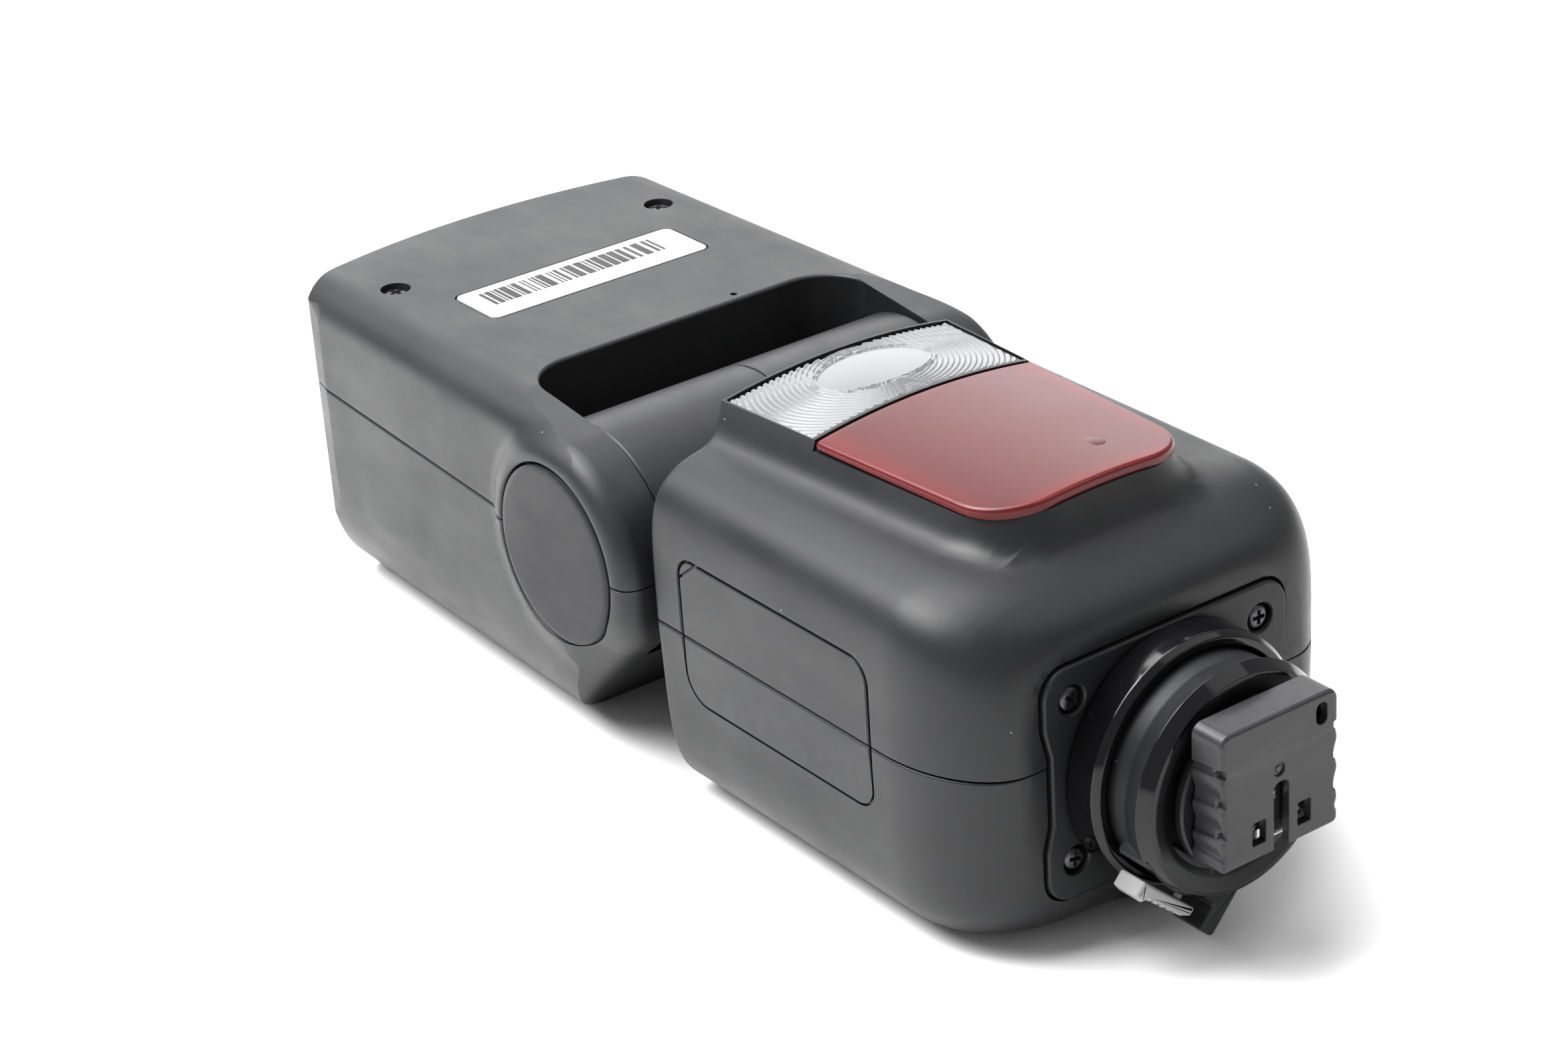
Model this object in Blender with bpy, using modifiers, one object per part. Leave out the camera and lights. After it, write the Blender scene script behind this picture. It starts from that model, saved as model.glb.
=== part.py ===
"""Speedlight flash, lying on its back with the head in line with the body.

X is the width, +Y runs from the shoe foot to the head's window, and +Z is the front of the flash.
Lengths are in millimetres from the flash's own datum: X = 0 is the middle plane, Y = 0 the outer face
of the foot cap and Z = 0 the middle of that cap. MM turns them into metres where a mesh is made.
The empty named flash_datum carries that datum, so that the whole object stands on Z = 0, centred.
"""

import math

import bmesh
import bpy
from mathutils import Matrix, Vector

MM = 0.001

# Overall
LENGTH = 187.6
REST = -28.0
GAP = 0.3

# Body casing
BODY_END = 21.5
BODY_TOP = 89.8
BODY_HALF = 33.8
BODY_END_HALF = 23.0
BODY_FRONT = 24.0
BODY_END_FRONT = 15.6
BODY_REAR = 29.4
BODY_END_REAR = 22.4
ROUND_LENGTH = 17.0
SEAM = 1.0
WALL = 2.2
END_WALL = 25.5
TOP_WALL = 87.5

# Raised front with the two windows
PLATEAU_Z = 32.0
PLATEAU_FOOT = 33.0
PLATEAU_RADIUS = 10.0
PLATEAU_HALF_FOOT = 16.9
PLATEAU_HALF_TOP = 20.0
PLATEAU_SKIRT = 6.0
ARCH_RADIUS = 111.0
POCKET_Z = 28.4
DIVIDER_Y = 70.4
LENS_TOP = 87.2

# Neck and head
AXIS_Y = 109.6
AXIS_Z = 4.9
DRUM_RADIUS = 17.2
DRUM_HALF = 28.4
EAR_RADIUS = 17.7
CAVITY_HALF = 28.8
CAVITY_Y = 129.0
HEAD_HALF = 37.4
HEAD_HALF_END = 34.2
HEAD_TOP = 24.3
HEAD_SEAM = 5.0
HEAD_SEAM_RISE = 2.5
HEAD_WALL = 2.0
CAP_RADIUS = 13.7
CAP_FACE = 37.7
END_ARC = 120.0
WINDOW_HALF = 29.0
WINDOW_LOW = -20.5
WINDOW_HIGH = 16.5

# Foot, lock ring and bottom plate
RING_Z = -3.1
FOOT_HALF = 9.25
FOOT_FACE = 2.2
FOOT_BACK = 4.1
CAP_HALF = 10.1
CAP_LOW = -9.6
CAP_HIGH = 10.3
CAP_BACK = 5.6
PLATE_FACE = 20.9
PLATE_BACK = 23.1
ARM_OUT = Vector((-0.667, -0.745))
ARM_ALONG = Vector((0.745, -0.667))

# Battery and controls
BATTERY_FACE = 33.7
KEY_FACE = -27.6
DIAL_Y = 40.0

for item in list(bpy.data.objects):
    bpy.data.objects.remove(item, do_unlink=True)

PARTS = bpy.data.collections.new("speedlight_flash")
TOOLS = bpy.data.collections.new("cutters")
for group in (PARTS, TOOLS):
    bpy.context.scene.collection.children.link(group)

DATUM = bpy.data.objects.new("flash_datum", None)
DATUM.location = (0.0, -LENGTH / 2 * MM, -REST * MM)
PARTS.objects.link(DATUM)


def material(name, colour, roughness, metallic=0.0, transmission=0.0):
    """A Principled material of the sub-part's own."""
    made = bpy.data.materials.new(name)
    made.use_nodes = True
    shader = made.node_tree.nodes["Principled BSDF"]
    shader.inputs["Base Color"].default_value = (*colour, 1.0)
    shader.inputs["Roughness"].default_value = roughness
    shader.inputs["Metallic"].default_value = metallic
    shader.inputs["Transmission Weight"].default_value = transmission
    return made


FINISHES = {
    "satin": ((0.028, 0.028, 0.030), 0.45, 0.0),
    "fine": ((0.022, 0.022, 0.024), 0.55, 0.0),
    "gloss": ((0.010, 0.010, 0.011), 0.12, 0.0),
    "rubber": ((0.020, 0.020, 0.020), 0.80, 0.0),
    "grey": ((0.42, 0.42, 0.41), 0.50, 0.0),
    "steel": ((0.55, 0.55, 0.56), 0.30, 1.0),
    "dark_steel": ((0.06, 0.06, 0.065), 0.40, 1.0),
    "gold": ((0.83, 0.62, 0.26), 0.25, 1.0),
    "mirror": ((0.86, 0.86, 0.86), 0.08, 1.0),
    "board": ((0.02, 0.16, 0.08), 0.50, 0.0),
    "white": ((0.80, 0.80, 0.79), 0.55, 0.0),
    "red": ((0.22, 0.012, 0.016), 0.22, 0.0),
    "clear": ((0.90, 0.92, 0.93), 0.06, 0.0),
    "screen": ((0.035, 0.045, 0.045), 0.15, 0.0),
    "sleeve": ((0.05, 0.06, 0.12), 0.35, 0.0),
}


def adopt(thing, finish=None, origin=(0.0, 0.0, 0.0)):
    """Links an object, moves its origin to a point of the flash and gives it a finish."""
    thing.data.transform(Matrix.Translation(-Vector(origin) * MM))
    thing.parent = DATUM
    thing.location = Vector(origin) * MM
    (PARTS if finish else TOOLS).objects.link(thing)
    if finish:
        colour, roughness, metallic = FINISHES[finish]
        clear = 0.9 if finish == "clear" else 0.0
        thing.data.materials.append(material(thing.name, colour, roughness, metallic, clear))
    else:
        thing.hide_render = True
        thing.display_type = "WIRE"
    return thing


def from_bmesh(name, shape, finish, origin=(0.0, 0.0, 0.0)):
    """Turns a bmesh in millimetres into an object."""
    bmesh.ops.scale(shape, vec=(MM, MM, MM), verts=shape.verts)
    mesh = bpy.data.meshes.new(name)
    shape.to_mesh(mesh)
    shape.free()
    return adopt(bpy.data.objects.new(name, mesh), finish, origin)


def box(name, x, y, z, finish=None, origin=(0.0, 0.0, 0.0), bevel=0.0):
    """A box between pairs of limits, its edges rounded by bevel."""
    shape = bmesh.new()
    size = Vector((x[1] - x[0], y[1] - y[0], z[1] - z[0]))
    middle = Vector((sum(x) / 2, sum(y) / 2, sum(z) / 2))
    bmesh.ops.create_cube(shape, size=1.0)
    bmesh.ops.scale(shape, vec=size, verts=shape.verts)
    bmesh.ops.translate(shape, vec=middle, verts=shape.verts)
    made = from_bmesh(name, shape, finish, origin)
    if bevel:
        rounding = made.modifiers.new("rounding", "BEVEL")
        rounding.width = bevel * MM
        rounding.segments = 1
    return made


TURNS = {
    "X": Matrix.Rotation(math.pi / 2, 4, "Y"),
    "Y": Matrix.Rotation(-math.pi / 2, 4, "X"),
    "Z": Matrix.Identity(4),
}


def rods(name, axis, places, radius, limits, finish=None, origin=(0.0, 0.0, 0.0), steps=20):
    """Cylinders along one axis, one for each (x, y, z) place, between two limits on that axis."""
    shape = bmesh.new()
    along = "XYZ".index(axis)
    for place in places:
        centre = Vector(place)
        centre[along] = sum(limits) / 2
        bmesh.ops.create_cone(
            shape,
            cap_ends=True,
            segments=steps,
            radius1=radius,
            radius2=radius,
            depth=limits[1] - limits[0],
            matrix=Matrix.Translation(centre) @ TURNS[axis],
        )
    made = from_bmesh(name, shape, finish, origin)
    smooth(made)
    return made


def smooth(thing):
    """Shades the round faces smooth and keeps the sharp edges."""
    thing.data.shade_smooth()
    thing.data.set_sharp_from_angle(angle=math.radians(35))


def turned(name, axis, centre, profile, finish=None, origin=None, steps=36, ring=False):
    """A profile of (radius, place along the axis) turned about a line through centre.

    The profile's outer side runs towards +axis. A ring's profile is closed and clear of the axis.
    """
    mesh = bpy.data.meshes.new(name)
    count = len(profile)
    edges = [(i, i + 1) for i in range(count - 1)] + ([(count - 1, 0)] if ring else [])
    mesh.from_pydata([(r * MM, 0.0, -h * MM) for r, h in profile], edges, [])
    made = bpy.data.objects.new(name, mesh)
    screw = made.modifiers.new("turn", "SCREW")
    screw.steps = steps
    screw.render_steps = steps
    screw.use_merge_vertices = True
    screw.merge_threshold = 0.00001
    graph = bpy.context.evaluated_depsgraph_get()
    PARTS.objects.link(made)
    graph.update()
    solid = bpy.data.meshes.new_from_object(made.evaluated_get(graph))
    bpy.data.objects.remove(made)
    flip = {"X": Matrix.Rotation(-math.pi / 2, 4, "Y"), "Y": Matrix.Rotation(math.pi / 2, 4, "X")}
    centre = Vector(centre)
    centre["XYZ".index(axis)] = 0.0
    solid.transform(Matrix.Translation(centre * MM) @ flip.get(axis, Matrix.Rotation(math.pi, 4, "X")))
    solid.materials.clear()
    made = adopt(bpy.data.objects.new(name, solid), finish, origin or (0.0, 0.0, 0.0))
    smooth(made)
    return made


def arc(centre, radius, start, end, steps):
    """Points on an arc, with both ends, from one angle in degrees to another."""
    turns = [math.radians(start + (end - start) * i / steps) for i in range(steps + 1)]
    return [(centre[0] + radius * math.cos(a), centre[1] + radius * math.sin(a)) for a in turns]


def rounded(corners, radius, steps=4):
    """A closed outline with each corner rounded; radius is one number or one for each corner."""
    outline = []
    count = len(corners)
    radii = radius if isinstance(radius, (list, tuple)) else [radius] * count
    for i, corner in enumerate(corners):
        here = Vector(corner)
        back = (Vector(corners[i - 1]) - here).normalized()
        on = (Vector(corners[(i + 1) % count]) - here).normalized()
        if not radii[i]:
            outline.append(tuple(here))
            continue
        half = back.angle(on) / 2
        centre = here + (back + on).normalized() * radii[i] / math.sin(half)
        first = (here + back * radii[i] / math.tan(half) - centre).normalized()
        last = (here + on * radii[i] / math.tan(half) - centre).normalized()
        for k in range(steps + 1):
            outline.append(tuple(centre + first.slerp(last, k / steps) * radii[i]))
    return outline


def rectangle(x, y):
    """The corners of a rectangle between pairs of limits."""
    return [(x[0], y[0]), (x[1], y[0]), (x[1], y[1]), (x[0], y[1])]


PLANES = {
    "XY": Matrix.Identity(3),
    "YZ": Matrix(((0, 0, 1), (1, 0, 0), (0, 1, 0))),
    "XZ": Matrix(((1, 0, 0), (0, 0, -1), (0, 1, 0))),
}


def flat(name, plane, outlines, limits, finish=None, origin=(0.0, 0.0, 0.0)):
    """A flat outline in a plane, with any holes, between two limits across that plane."""
    curve = bpy.data.curves.new(name, "CURVE")
    curve.dimensions = "2D"
    curve.fill_mode = "BOTH"
    curve.extrude = (limits[1] - limits[0]) / 2 * MM
    for outline in outlines:
        spline = curve.splines.new("POLY")
        spline.points.add(len(outline) - 1)
        for point, (a, b) in zip(spline.points, outline):
            point.co = (a * MM, b * MM, 0.0, 1.0)
        spline.use_cyclic_u = True
    guide = bpy.data.objects.new(name, curve)
    PARTS.objects.link(guide)
    graph = bpy.context.evaluated_depsgraph_get()
    graph.update()
    mesh = bpy.data.meshes.new_from_object(guide.evaluated_get(graph))
    bpy.data.objects.remove(guide)
    shape = bmesh.new()
    shape.from_mesh(mesh)
    bmesh.ops.remove_doubles(shape, verts=shape.verts, dist=0.000001)
    bmesh.ops.recalc_face_normals(shape, faces=shape.faces)
    shape.to_mesh(mesh)
    shape.free()
    turn = PLANES[plane].to_4x4()
    across = turn.to_3x3() @ Vector((0.0, 0.0, 1.0))
    middle = sum(limits) / 2 * MM
    shift = Vector(tuple(abs(a) for a in across)) * middle
    mesh.transform(Matrix.Translation(shift) @ turn)
    return adopt(bpy.data.objects.new(name, mesh), finish, origin)


def loft(name, rings, finish=None, origin=(0.0, 0.0, 0.0)):
    """Skins rings of points that have the same count, and closes both ends."""
    shape = bmesh.new()
    rows = [[shape.verts.new(point) for point in ring] for ring in rings]
    for first, second in zip(rows, rows[1:]):
        for i in range(len(first)):
            j = (i + 1) % len(first)
            shape.faces.new((first[i], first[j], second[j], second[i]))
    shape.faces.new(rows[0][::-1])
    shape.faces.new(rows[-1])
    bmesh.ops.recalc_face_normals(shape, faces=shape.faces)
    made = from_bmesh(name, shape, finish, origin)
    smooth(made)
    return made


SHELLS = {"front_cover", "rear_cover", "head_lower_cover", "head_upper_cover"}


def combine(thing, operation, *tools):
    """Adds a Boolean for each tool: DIFFERENCE, UNION or INTERSECT.

    EXACT leaves open edges where the many thin walls of the four big shells meet.
    """
    for tool in tools:
        step = thing.modifiers.new(tool.name, "BOOLEAN")
        step.operation = operation
        step.object = tool
        step.solver = "MANIFOLD" if thing.name in SHELLS else "EXACT"


def mirrored(half):
    """A closed outline from its right half, which runs from the middle plane round to it again."""
    return half + [(-x, z) for x, z in reversed(half) if abs(x) > 1e-9]


# ---------------------------------------------------------------- body casing


def swell(y):
    """0 on the end face, rising to 1 where the foot-end rounding has run out."""
    run = min(max((y - BODY_END) / ROUND_LENGTH, 0.0), 1.0)
    return math.sqrt(1.0 - (1.0 - run) ** 2)


def plateau_share(x, y):
    """How much of the raised front's height stands at (x, y): 1 on it, 0 past its skirt."""
    along = (y - PLATEAU_FOOT - PLATEAU_RADIUS) / (BODY_TOP - PLATEAU_FOOT - PLATEAU_RADIUS)
    half = PLATEAU_HALF_FOOT + (PLATEAU_HALF_TOP - PLATEAU_HALF_FOOT) * max(along, 0.0)
    beside = max(abs(x) - half + PLATEAU_RADIUS, 0.0)
    before = max(PLATEAU_FOOT + PLATEAU_RADIUS - y, 0.0)
    outside = math.hypot(beside, before) - PLATEAU_RADIUS
    return (1.0 - min(max(outside / PLATEAU_SKIRT, 0.0), 1.0)) ** 3.5


ACROSS = (0.0, 0.2, 0.38, 0.53, 0.575, 0.61, 0.645, 0.69, 0.75, 0.83, 0.9, 0.95)
DOWN = (0.6, 0.35, 0.15)


def body_half(y, inset):
    """Half width, and heights of the casing in front of the seam and behind it, at y."""
    share = swell(y)
    width = BODY_END_HALF + (BODY_HALF - BODY_END_HALF) * share - inset
    front = BODY_END_FRONT + (BODY_FRONT - BODY_END_FRONT) * share - inset
    rear = BODY_END_REAR + (BODY_REAR - BODY_END_REAR) * share - inset
    power = 3.8 + 2.2 * share
    return width, front, rear, power


def front_outline(y, inset=0.0, raised=True, seam=SEAM):
    """Right half of the front cover's section, from the middle to the seam."""
    width, front, _, power = body_half(y, inset)
    points = []
    for across in ACROSS:
        x = across * width
        z = SEAM + front * (1.0 - across**power) ** (1.0 / power)
        if raised:
            arch = PLATEAU_Z - x * x / (2 * ARCH_RADIUS)
            z += (arch - z) * plateau_share(x, y)
        points.append((x, z))
    for down in DOWN:
        points.append((width * (1.0 - down**power) ** (1.0 / power), SEAM + front * down))
    points.append((width, seam))
    return points


def rear_outline(y, inset=0.0, seam=SEAM):
    """Right half of the rear cover's section, from the seam to the middle."""
    width, _, rear, power = body_half(y, inset)
    floor = REST + inset
    points = [(width, seam)]
    for down in reversed(DOWN):
        narrower = 1.0 - 0.03 * down
        points.append((width * narrower * (1.0 - down**power) ** (1.0 / power), SEAM - rear * down))
    for across in (0.95, 0.9, 0.83, 0.74, 0.62, 0.3, 0.0):
        z = SEAM - rear * (1.0 - across**power) ** (1.0 / power)
        points.append((across * width * 0.97, max(z, floor)))
    return points


def ring_at(y, half):
    return [(x, y, z) for x, z in half]


FOOT_RUN = (0.0, 0.04, 0.12, 0.25, 0.4, 0.55, 0.68, 0.82, 1.0)
STATIONS = [BODY_END + ROUND_LENGTH * run for run in FOOT_RUN] + [42.0, 47.0, 70.0, 89.0, BODY_TOP]


def body_rings(section):
    """Rings of the casing's outside, the last one drawn in a little to soften the rim."""
    rings = []
    for y in STATIONS:
        inset = 0.7 if y == BODY_TOP else 0.0
        rings.append(ring_at(y, section(y, inset)))
    return rings


def lens_outline(grow=0.0):
    """Outline of the modelling light's window, seen from the front."""
    half = PLATEAU_HALF_TOP - 0.7 + grow
    low = PLATEAU_HALF_TOP - 1.6 + grow
    return [
        (-low, DIVIDER_Y + 0.6 - grow),
        (low, DIVIDER_Y + 0.6 - grow),
        (half, LENS_TOP + grow),
        (-half, LENS_TOP + grow),
    ]


def red_outline(grow=0.0):
    """Outline of the red window, seen from the front."""
    top = PLATEAU_HALF_TOP - 1.7 + grow
    foot = PLATEAU_HALF_FOOT - 0.7 + grow
    corners = [
        (-foot, PLATEAU_FOOT + 0.8 - grow),
        (foot, PLATEAU_FOOT + 0.8 - grow),
        (top, DIVIDER_Y - 0.6 + grow),
        (-top, DIVIDER_Y - 0.6 + grow),
    ]
    return rounded(corners, [PLATEAU_RADIUS - 1.0, PLATEAU_RADIUS - 1.0, 0.6, 0.6], 5)


def plate_outline(grow=0.0):
    """Bottom plate seen from the foot: rounded corners and a shallow waist on both sides."""
    wide, high, low, waist = 21.0 + grow, 14.7 + grow, -19.7 - grow, 20.0 + grow
    right = [(wide, high), (wide, 6.5), (waist, 2.5), (waist, -7.5), (wide, -11.5), (wide, low)]
    corners = right + [(-x, z) for x, z in reversed(right)]
    radii = [4.0, 3.0, 3.0, 3.0, 3.0, 4.0] * 2
    return rounded(corners[::-1], radii, 3)


def panel_outline(grow=0.0):
    """The side panel's outline in Y and Z, with its front corner at the head end cut off."""
    y, z = (41.2 - grow, 83.3 + grow), (-9.0 - grow, 13.3 + grow)
    corners = [(y[0], z[0]), (y[1], z[0]), (y[1], z[1] - 3.2), (y[1] - 4.2, z[1]), (y[0], z[1])]
    return rounded(corners, [3.5, 4.5, 1.2, 1.2, 3.5], 4)


def groove_cutter():
    """The thin line sunk round the blank side panel, on the left."""
    outlines = [panel_outline(0.25), panel_outline(-0.25)]
    return flat("side_groove_cut", "YZ", outlines, (-36.0, -33.2))


SCREWS = [(x, 0.0, z) for x in (-16.25, 16.25) for z in (-14.0, 9.7)]
KEYS_X = (-16.5, -5.5, 5.5, 16.5)
KEYS_Y = 52.0
ROUND_BUTTONS = {
    "mode_button": (-20.5, 44.5),
    "lamp_button": (-20.5, 36.0),
    "test_button": (20.5, 44.5),
    "wireless_button": (20.5, 36.0),
}
LATCH_Y = (46.0, 56.0)
LATCH_Z = (0.5, 4.5)


def casing():
    """Both covers of the body, with every opening that they hold."""
    inside = [ring_at(y, mirrored(front_outline(y, WALL, False) + rear_outline(y, WALL)[1:]))
              for y in (END_WALL, 28.5, 32.0, 38.5, TOP_WALL)]
    hollow = loft("body_hollow_cut", inside)
    neck_hole = rods("neck_hole_cut", "Y", [(0, 0, AXIS_Z)], 12.0, (86.0, 92.0), steps=32)
    plate_seat = flat("plate_seat_cut", "XZ", [plate_outline(GAP)], (20.0, PLATE_BACK + GAP))
    well_outline = rounded(rectangle((-11, 11), (-14, 8)), 3)
    plate_well = flat("plate_well_cut", "XZ", [well_outline], (22.0, 27.0))
    plate_holes = rods("plate_holes_cut", "Y", SCREWS, 1.2, (22.0, 25.3), steps=10)
    groove = groove_cutter()
    bay = flat("battery_bay_cut", "YZ", [panel_outline(0.0)], (28.0, 38.0))
    shared = (hollow, neck_hole, plate_seat, plate_well, plate_holes, groove, bay)

    front_rings = body_rings(lambda y, inset: mirrored(front_outline(y, inset, seam=SEAM + GAP / 2)))
    front = loft("front_cover", front_rings, "satin")
    lens_seat = flat("lens_seat_cut", "XY", [lens_outline(GAP)], (POCKET_Z - GAP, 40.0))
    red_seat = flat("red_seat_cut", "XY", [red_outline(GAP)], (POCKET_Z - GAP, 40.0))
    lamp_well = rods("lamp_well_cut", "Z", [(0, 78.3, 0)], 6.6, (15.0, 30.0), steps=24)
    red_well = box("red_well_cut", (-12, 12), (39, 64), (15, 30))
    combine(front, "DIFFERENCE", *shared, lens_seat, red_seat, lamp_well, red_well)

    rear_rings = body_rings(lambda y, inset: mirrored(rear_outline(y, inset, seam=SEAM - GAP / 2)[::-1]))
    rear = loft("rear_cover", rear_rings, "satin")
    screen_outline = rounded(rectangle((-22.4, 22.4), (56.6, 83.4)), 0.5, 2)
    screen = flat("screen_seat_cut", "XY", [screen_outline], (-29, -25))
    key_holes = [box(f"key_hole_{i}_cut", (x - 4.4, x + 4.4), (KEYS_Y - 2.2, KEYS_Y + 2.2), (-29, -25))
                 for i, x in enumerate(KEYS_X)]
    round_places = [(x, y, 0) for x, y in ROUND_BUTTONS.values()]
    round_holes = rods("round_hole_cut", "Z", round_places, 2.9, (-29, -24))
    dial_hole = rods("dial_hole_cut", "Z", [(0, DIAL_Y, 0)], 8.8, (-29, -24), steps=32)
    switch_hole = box("switch_hole_cut", (-5.3, 5.3), (27.0, 29.6), (-29, -22))
    port_well = box("port_well_cut", (28, 36), (56, 80), (-21.6, -13.0))
    combine(rear, "DIFFERENCE", *shared, screen, *key_holes, round_holes, dial_hole, switch_hole)
    combine(rear, "DIFFERENCE", port_well)


def windows():
    """The modelling light's clear window and the red window over the focus-assist lamps."""
    arch = rods("arch_trim", "Y", [(0, 0, PLATEAU_Z - ARCH_RADIUS)], ARCH_RADIUS, (30, 92), steps=160)
    lens = flat("modelling_lens", "XY", [lens_outline()], (POCKET_Z, 40.0), "clear")
    red = flat("red_window", "XY", [red_outline()], (POCKET_Z, 40.0), "red")
    combine(lens, "INTERSECT", arch)
    combine(red, "INTERSECT", arch)


def front_electronics():
    """What sits behind the two front windows."""
    board = rods("modelling_led", "Z", [(0, 78.3, 0)], 6.2, (23.2, 24.6), "white", steps=20)
    dome = rods("led_dome_join", "Z", [(0, 78.3, 0)], 2.6, (24.5, 27.0), steps=12)
    combine(board, "UNION", dome)
    box("assist_lamp", (-8, 8), (48, 62), (23.4, 27.6), "fine", bevel=0.6)


def electronics():
    """Boards, capacitor and transformer inside the body."""
    box("main_board", (-28.0, 28.0), (44.0, 86.0), (-12.8, -11.2), "board")
    turned("main_capacitor", "X", (0, 33.2, 4.0),
           [(0, -21.5), (6.6, -21.5), (7.2, -20.6), (7.2, 20.6), (6.6, 21.5), (0, 21.5)], "sleeve", steps=24)
    box("screen_module", (-21.0, 21.0), (58.0, 82.0), (-24.2, -21.0), "steel", bevel=0.3)
    box("screen_window", (-22.0, 22.0), (57.0, 83.0), (-27.7, -25.2), "screen", bevel=0.3)
    box("usb_socket", (24.0, 31.0), (60.3, 69.1), (-18.9, -15.9), "steel", bevel=0.3)


def battery():
    """The battery, which slides out sideways, with its own end face and latch."""
    pivot = (BATTERY_FACE, 62.3, 2.1)
    face = flat("battery", "YZ", [panel_outline(-GAP)], (29.6, BATTERY_FACE), "fine", pivot)
    cell = box("battery_block_join", (-22.0, 30.4), (43.0, 79.0), (-8.0, 12.2))
    pocket = box("latch_pocket_cut", (31.7, 36), (LATCH_Y[0] - 2.5, LATCH_Y[1] + GAP),
                 (LATCH_Z[0] - GAP, LATCH_Z[1] + GAP))
    combine(face, "UNION", cell)
    combine(face, "DIFFERENCE", pocket)
    box("battery_latch", (32.0, 33.6), (LATCH_Y[0], LATCH_Y[1]), LATCH_Z, "satin", pivot, bevel=0.4)


def port_flap():
    """Rubber flap over the ports, hinged along its edge nearest the front cover."""
    box("port_flap", (31.5, 32.7), (56.4, 79.6), (-21.2, -13.4), "rubber", (31.8, 68.0, -13.6), bevel=0.3)


# ------------------------------------------------------------ controls


def controls():
    """Keys, dial and switch on the rear, all set back from the plane that the flash lies on."""
    for i, x in enumerate(KEYS_X):
        box(f"soft_key_{i + 1}", (x - 4.1, x + 4.1), (KEYS_Y - 1.9, KEYS_Y + 1.9), (KEY_FACE, -22.4),
            "rubber", (x, KEYS_Y, KEY_FACE), bevel=0.4)
    for name, (x, y) in ROUND_BUTTONS.items():
        crown = KEY_FACE + 0.5
        profile = [(0, crown), (2.2, crown), (2.6, crown + 0.4), (2.6, -22.4), (0, -22.4)]
        turned(name, "Z", (x, y, 0), profile, "rubber", (x, y, KEY_FACE + 0.5), steps=16)
    centre = (0, DIAL_Y, 0)
    ring = [(8.0, -27.3), (8.4, -26.9), (8.4, -23.0), (4.5, -23.0), (4.5, -27.0), (4.8, -27.3)]
    turned("select_dial", "Z", centre, ring, "fine", (0, DIAL_Y, -27.3), steps=32, ring=True)
    button = [(0, -27.0), (3.8, -27.0), (4.1, -26.6), (4.1, -22.4), (0, -22.4)]
    turned("set_button", "Z", centre, button, "satin", (0, DIAL_Y, -27.0), steps=20)
    box("power_switch", (-3.6, 0.4), (27.3, 29.3), (-26.3, -22.4), "satin", (-1.6, 28.3, -24.0), bevel=0.3)


# ------------------------------------------------------------ foot


def on_arm(along, out):
    """A point of the lock ring's arm in X and Z, from its place along the tab and out from the ring."""
    return tuple(Vector((0.0, RING_Z)) + ARM_ALONG * along + ARM_OUT * out)


def arm_box(name, along, out, y, finish=None, origin=(0.0, 0.0, 0.0)):
    """A block square to the lock ring's arm."""
    corners = [on_arm(a, o) for a, o in rectangle(along, out)]
    return flat(name, "XZ", [corners], y, finish, origin)


def foot():
    """Shoe foot, its contacts and locking pin, and the stem that carries it."""
    plate = box("foot_plate", (-FOOT_HALF, FOOT_HALF), (FOOT_FACE, FOOT_BACK), (-9.2, 8.8), "steel")
    neck = box("foot_neck_join", (-6.1, 6.1), (3.8, 5.5), (-9.2, 8.8))
    pin_hole = rods("pin_hole_cut", "Y", [(7.2, 0, 7.3)], 1.0, (1.0, 5.0), steps=12)
    combine(plate, "UNION", neck)
    combine(plate, "DIFFERENCE", pin_hole)
    places = [(0.2, 0, -2.4), (4.15, 0, -5.75), (-3.65, 0, -5.75), (4.15, 0, 1.6), (-3.65, 0, 1.6)]
    carrier = box("contact_block", (-4.6, 5.1), (1.85, 2.05), (-6.7, 2.6), "gold")
    pins = rods("contact_pins_join", "Y", places, 0.8, (1.5, 1.95), steps=12)
    combine(carrier, "UNION", pins)
    rods("locking_pin", "Y", [(7.2, 0, 7.3)], 0.75, (1.55, 4.1), "steel", (7.2, 1.55, 7.3), steps=12)
    stem = [(0, 5.9), (11.2, 5.9), (11.5, 6.2), (11.5, 7.3), (9.2, 7.7), (9.2, 20.4), (9.2, 23.0), (0, 23.0)]
    turned("foot_stem", "Y", (0, 0, RING_Z), stem, "fine", (0, 5.9, RING_Z), steps=28)


def foot_cap():
    """Slide-on cap that guards the foot and its contacts in storage."""
    cap = box("foot_cap", (-CAP_HALF, CAP_HALF), (0.0, CAP_BACK), (CAP_LOW, CAP_HIGH), "satin",
              (0.0, CAP_BACK, 0.0), bevel=0.5)
    pocket = box("cap_pocket_cut", (-9.5, 9.5), (1.25, 4.4), (-11, 9.1))
    channel = box("cap_channel_cut", (-6.4, 6.4), (4.2, 7), (-11, 9.1))
    slot = box("cap_slot_cut", (-1.1, 1.5), (-1, 2), (-11, 0.3))
    left = box("cap_left_window_cut", (-4.8, -2.5), (-1, 2), (-7.4, -4.1))
    right = box("cap_right_window_cut", (3.0, 5.3), (-1, 2), (-7.4, -4.1))
    oblong = flat("cap_oblong_cut", "XZ", [rounded(rectangle((6.25, 8.15), (5.9, 9.0)), 0.9, 3)], (-1, 2))
    combine(cap, "DIFFERENCE", pocket, channel, slot, left, right, oblong)


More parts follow.
